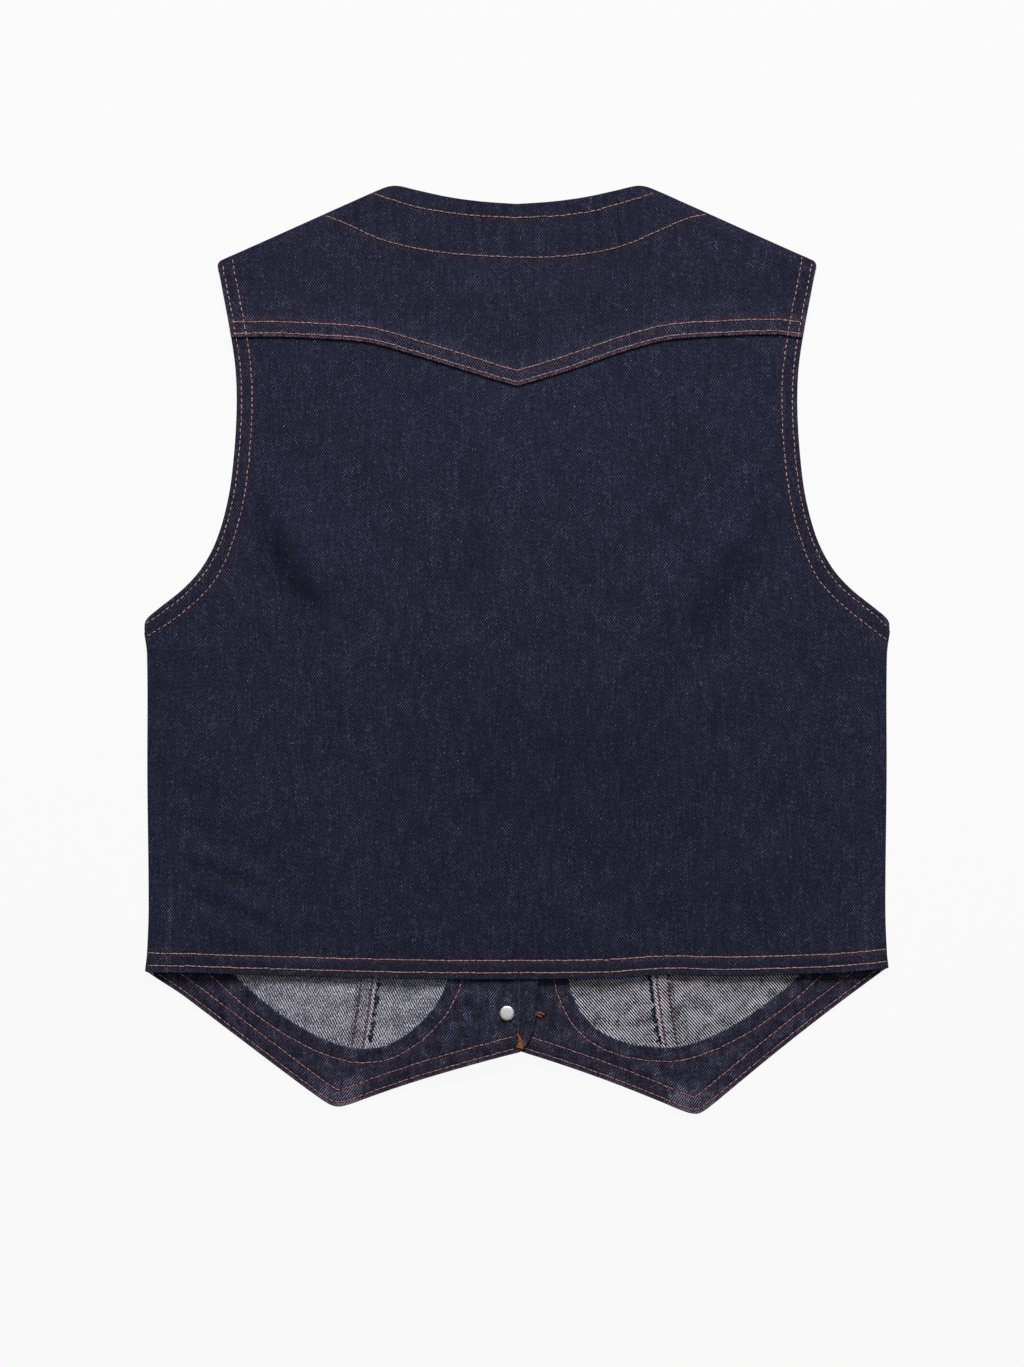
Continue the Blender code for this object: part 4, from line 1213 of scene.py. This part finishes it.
back_cloths = (lower_back, yoke)
sew("stitches_armholes", armhole_lines, back_cloths, SHORT_STITCH, pale_thread)
hem_rows = [across(lambda x: back_hem_y(x) + row, -HEM_ROW_END, HEM_ROW_END) for row in HEM_ROWS]
sew("stitches_back_hem", hem_rows, back_cloths, LONG_STITCH, long_thread)
yoke_edge = across(yoke_edge_y, -YOKE_ROW_END, YOKE_ROW_END)
yoke_rows = [offset(yoke_edge, row) for row in YOKE_ROWS]
sew("stitches_yoke", yoke_rows, back_cloths, LONG_STITCH, yoke_thread)
facing_start, facing_end = NECK_FACING_ROW[0][0] + ROW_SHORT, NECK_FACING_ROW[-1][0] - ROW_SHORT
neck_rows = [across(neck_row_y, *NECK_ROW_ENDS), across(neck_facing_y, facing_start, facing_end)]
sew("stitches_neck", neck_rows, back_cloths, LONG_STITCH, neck_thread)

# Bartacks and buttonhole end
# Dense zigzags of rust-coloured thread lock the end of the lowest buttonhole, on the right front,
# and the point where both fronts meet at the hem.
TACK_STRAND = Strand(0.0011, 0.001, 0.0)
TACK_SLANT = 0.0005
HOLE_STRAND = Strand(0.0016, 0.0011, 0.0003)
HOLE_SHADE_STRAND = Strand(0.0022, 0.0006, 0.0)
CENTRE_TACK = np.array((  # y, left x, right x
    (-237.6, 0, 1.6), (-238.4, -1, 1.9), (-239.2, 0.1, 2.6), (-240.1, 0.3, 3), (-241, 0.6, 3.3),
    (-241.9, 0.5, 3.6), (-242.8, 0.3, 3.8), (-243.7, 0.1, 4.1), (-244.5, -0.3, 4.4),
    (-245.3, -0.8, 4.6), (-246, -1.2, 4.7),
)) * MM
HOLE_END = np.array((  # x0, y0, x1, y1
    (12.2, -223.6, 17.6, -226.2), (10.6, -225, 15.8, -227.6), (11.2, -224, 14, -225.3),
)) * MM
HOLE_SHADE = np.array((  # x0, y0, x1, y1
    (11.8, -222.6, 18.6, -225.6), (11.6, -224.4, 18.6, -227.4), (15, -223.8, 19, -226.2),
)) * MM
rust_thread = thread("rust bartack thread", "#b0704e", "#45231a", 0.75)
painted_hole_shade = thread("buttonhole shade", "#241a1c", "#0b090b", 0.9)
all_fronts = front_panels[LEFT] + front_panels[RIGHT]
ends = [
    (np.array((left, y + TACK_SLANT)), np.array((right, y - TACK_SLANT)))
    for y, left, right in CENTRE_TACK
]
lay_strands("bartack_centre", ends, all_fronts, TACK_STRAND, rust_thread)
# Painted shade: dark strands under the buttonhole's end stand for the shade there, not for thread.
ends = [(row[:2], row[2:]) for row in HOLE_SHADE]
lay_strands("buttonhole_end_shade", ends, all_fronts, HOLE_SHADE_STRAND, painted_hole_shade)
ends = [(row[:2], row[2:]) for row in HOLE_END]
lay_strands("buttonhole_end", ends, all_fronts, HOLE_STRAND, rust_thread)

# Frayed seam edges and pressed ridges
# Warp ends that came loose along the cut front seams stand out as dark tufts, with pale loops of weft
# between them. Fine pale dots show where an edge inside the cloth has been pressed through, on the
# left facing and the left side.
FRAY_ENDS = (-0.241, -0.15)
FRAY_LOWEST = -0.2425
TUFT_STEP = 0.0048
TUFT_SHIFT = 0.001
TUFT_SPREAD = (0.0006, 0.0017)
TUFT_YARN = 0.00009
TUFT_ROOT = 0.0004
TUFT_LEAN = 1.2
TUFT_REACH = (0.0009, 0.0026)
TUFT_STRAND = Strand(0.0009, 0.0008, 0.0002)
LOOPS = 3
LOOP_SPREAD = 0.0006
LOOP_ROOT = 0.0008
LOOP_REACH = (0.001, 0.0022)
LOOP_SLANT = 0.0009
LOOP_STRAND = Strand(0.0006, 0.0007, 0.0003)
DOT_STITCH = Stitch(0.0014, 0.001, Strand(0.00042, 0.0004, 0.0))
FACING_RIDGE = np.array(((1.2, -204), (1.1, -220), (0.9, -237))) * MM
SIDE_RIDGES = (
    np.array(((-214.3, -146), (-214.6, -173), (-214.8, -197))) * MM,
    np.array(((-219.2, -185), (-219.6, -196.8))) * MM,
)
warp_thread = thread("loose indigo warp", "#2c3150", "#0f111d", 0.9)
weft_thread = thread("loose pale weft", "#cfccd6", "#6d6a78", 0.9)
dot_thread = thread("pressed ridge", "#8f8b8e", "#2a2a38", 0.6)


def raw_edge_x(front, y):
    return front.sign * (front_seam_out(front, y) - ALLOWANCE)


for front in (LEFT, RIGHT):
    dark_ends, pale_ends = [], []
    for y in np.arange(*FRAY_ENDS, TUFT_STEP):
        middle = y + sway.uniform(-TUFT_SHIFT, TUFT_SHIFT)
        spread = sway.uniform(*TUFT_SPREAD)
        for _ in range(int(spread / TUFT_YARN)):
            at_y = max(middle + sway.normal(0, spread), FRAY_LOWEST)
            start = np.array((raw_edge_x(front, at_y) + sway.normal(0, TUFT_ROOT), at_y))
            lean = sway.uniform(-TUFT_LEAN, TUFT_LEAN)
            reach = sway.uniform(*TUFT_REACH)
            step = reach * np.array((-front.sign * math.cos(lean), math.sin(lean)))
            dark_ends.append((start, start + step))
        for _ in range(LOOPS):
            at_y = middle + TUFT_STEP / 2 + sway.normal(0, LOOP_SPREAD)
            start = np.array((raw_edge_x(front, at_y) + front.sign * LOOP_ROOT, at_y))
            reach = sway.uniform(*LOOP_REACH)
            step = np.array((-front.sign * reach, sway.uniform(-LOOP_SLANT, LOOP_SLANT)))
            pale_ends.append((start, start + step))
    lay_strands("fray_" + front.name, dark_ends, front_panels[front], TUFT_STRAND, warp_thread)
    lay_strands("fray_pale_" + front.name, pale_ends, front_panels[front], LOOP_STRAND, weft_thread)
sew("ridge_facing", [FACING_RIDGE], all_fronts, DOT_STITCH, dot_thread)
sew("ridge_side", SIDE_RIDGES, [lower_back], DOT_STITCH, dot_thread)

# Stage
# A plain white table top under soft studio light from above the neck, seen from straight above.
# The top glows a little, so that it stays an even white as in a studio picture.
CAMERA_PLACE = (-0.0031, -0.0208, 2.004)
CAMERA_LENS = 85.0
CAMERA_SENSOR = 36.0
FLOOR_SIZE = 30.0
FLOOR_Z = -0.0002
FLOOR_GLOW = 0.922
WORLD_LIGHT = 0.07
bpy.ops.object.select_all(action="DESELECT")
bpy.ops.mesh.primitive_plane_add(size=FLOOR_SIZE, location=(0, 0, FLOOR_Z))
floor = bpy.context.object
floor.name = "floor"
floor_white, _, shader = new_material("white laminate")
set_inputs(shader, {
    "Base Color": colour("#202020"),
    "Roughness": 0.9,
    "Emission Color": colour("#ffffff"),
    "Emission Strength": FLOOR_GLOW,
})
floor.data.materials.append(floor_white)
floor.visible_diffuse = False

world = bpy.data.worlds.new("studio")
bpy.context.scene.world = world
world.use_nodes = True
set_inputs(world.node_tree.nodes["Background"], {"Color": colour("#ffffff"), "Strength": WORLD_LIGHT})
Light = namedtuple("Light", "name place size watts")
for light in (
    Light("key", (0.18, 2.02, 1.55), 1.1, 91),
    Light("overhead", (0.0, 0.0, 2.4), 1.6, 9),
):
    lamp = bpy.data.lights.new(light.name, "AREA")
    lamp.size = light.size
    lamp.energy = light.watts
    holder = bpy.data.objects.new(light.name, lamp)
    holder.location = light.place
    holder.rotation_euler = (-Vector(light.place)).to_track_quat("-Z", "Y").to_euler()
    bpy.context.scene.collection.objects.link(holder)

lens = bpy.data.cameras.new("camera")
lens.lens = CAMERA_LENS
lens.sensor_width = CAMERA_SENSOR
camera = bpy.data.objects.new("camera", lens)
camera.location = CAMERA_PLACE
bpy.context.scene.collection.objects.link(camera)
bpy.context.scene.camera = camera
bpy.context.scene.view_settings.view_transform = "Standard"
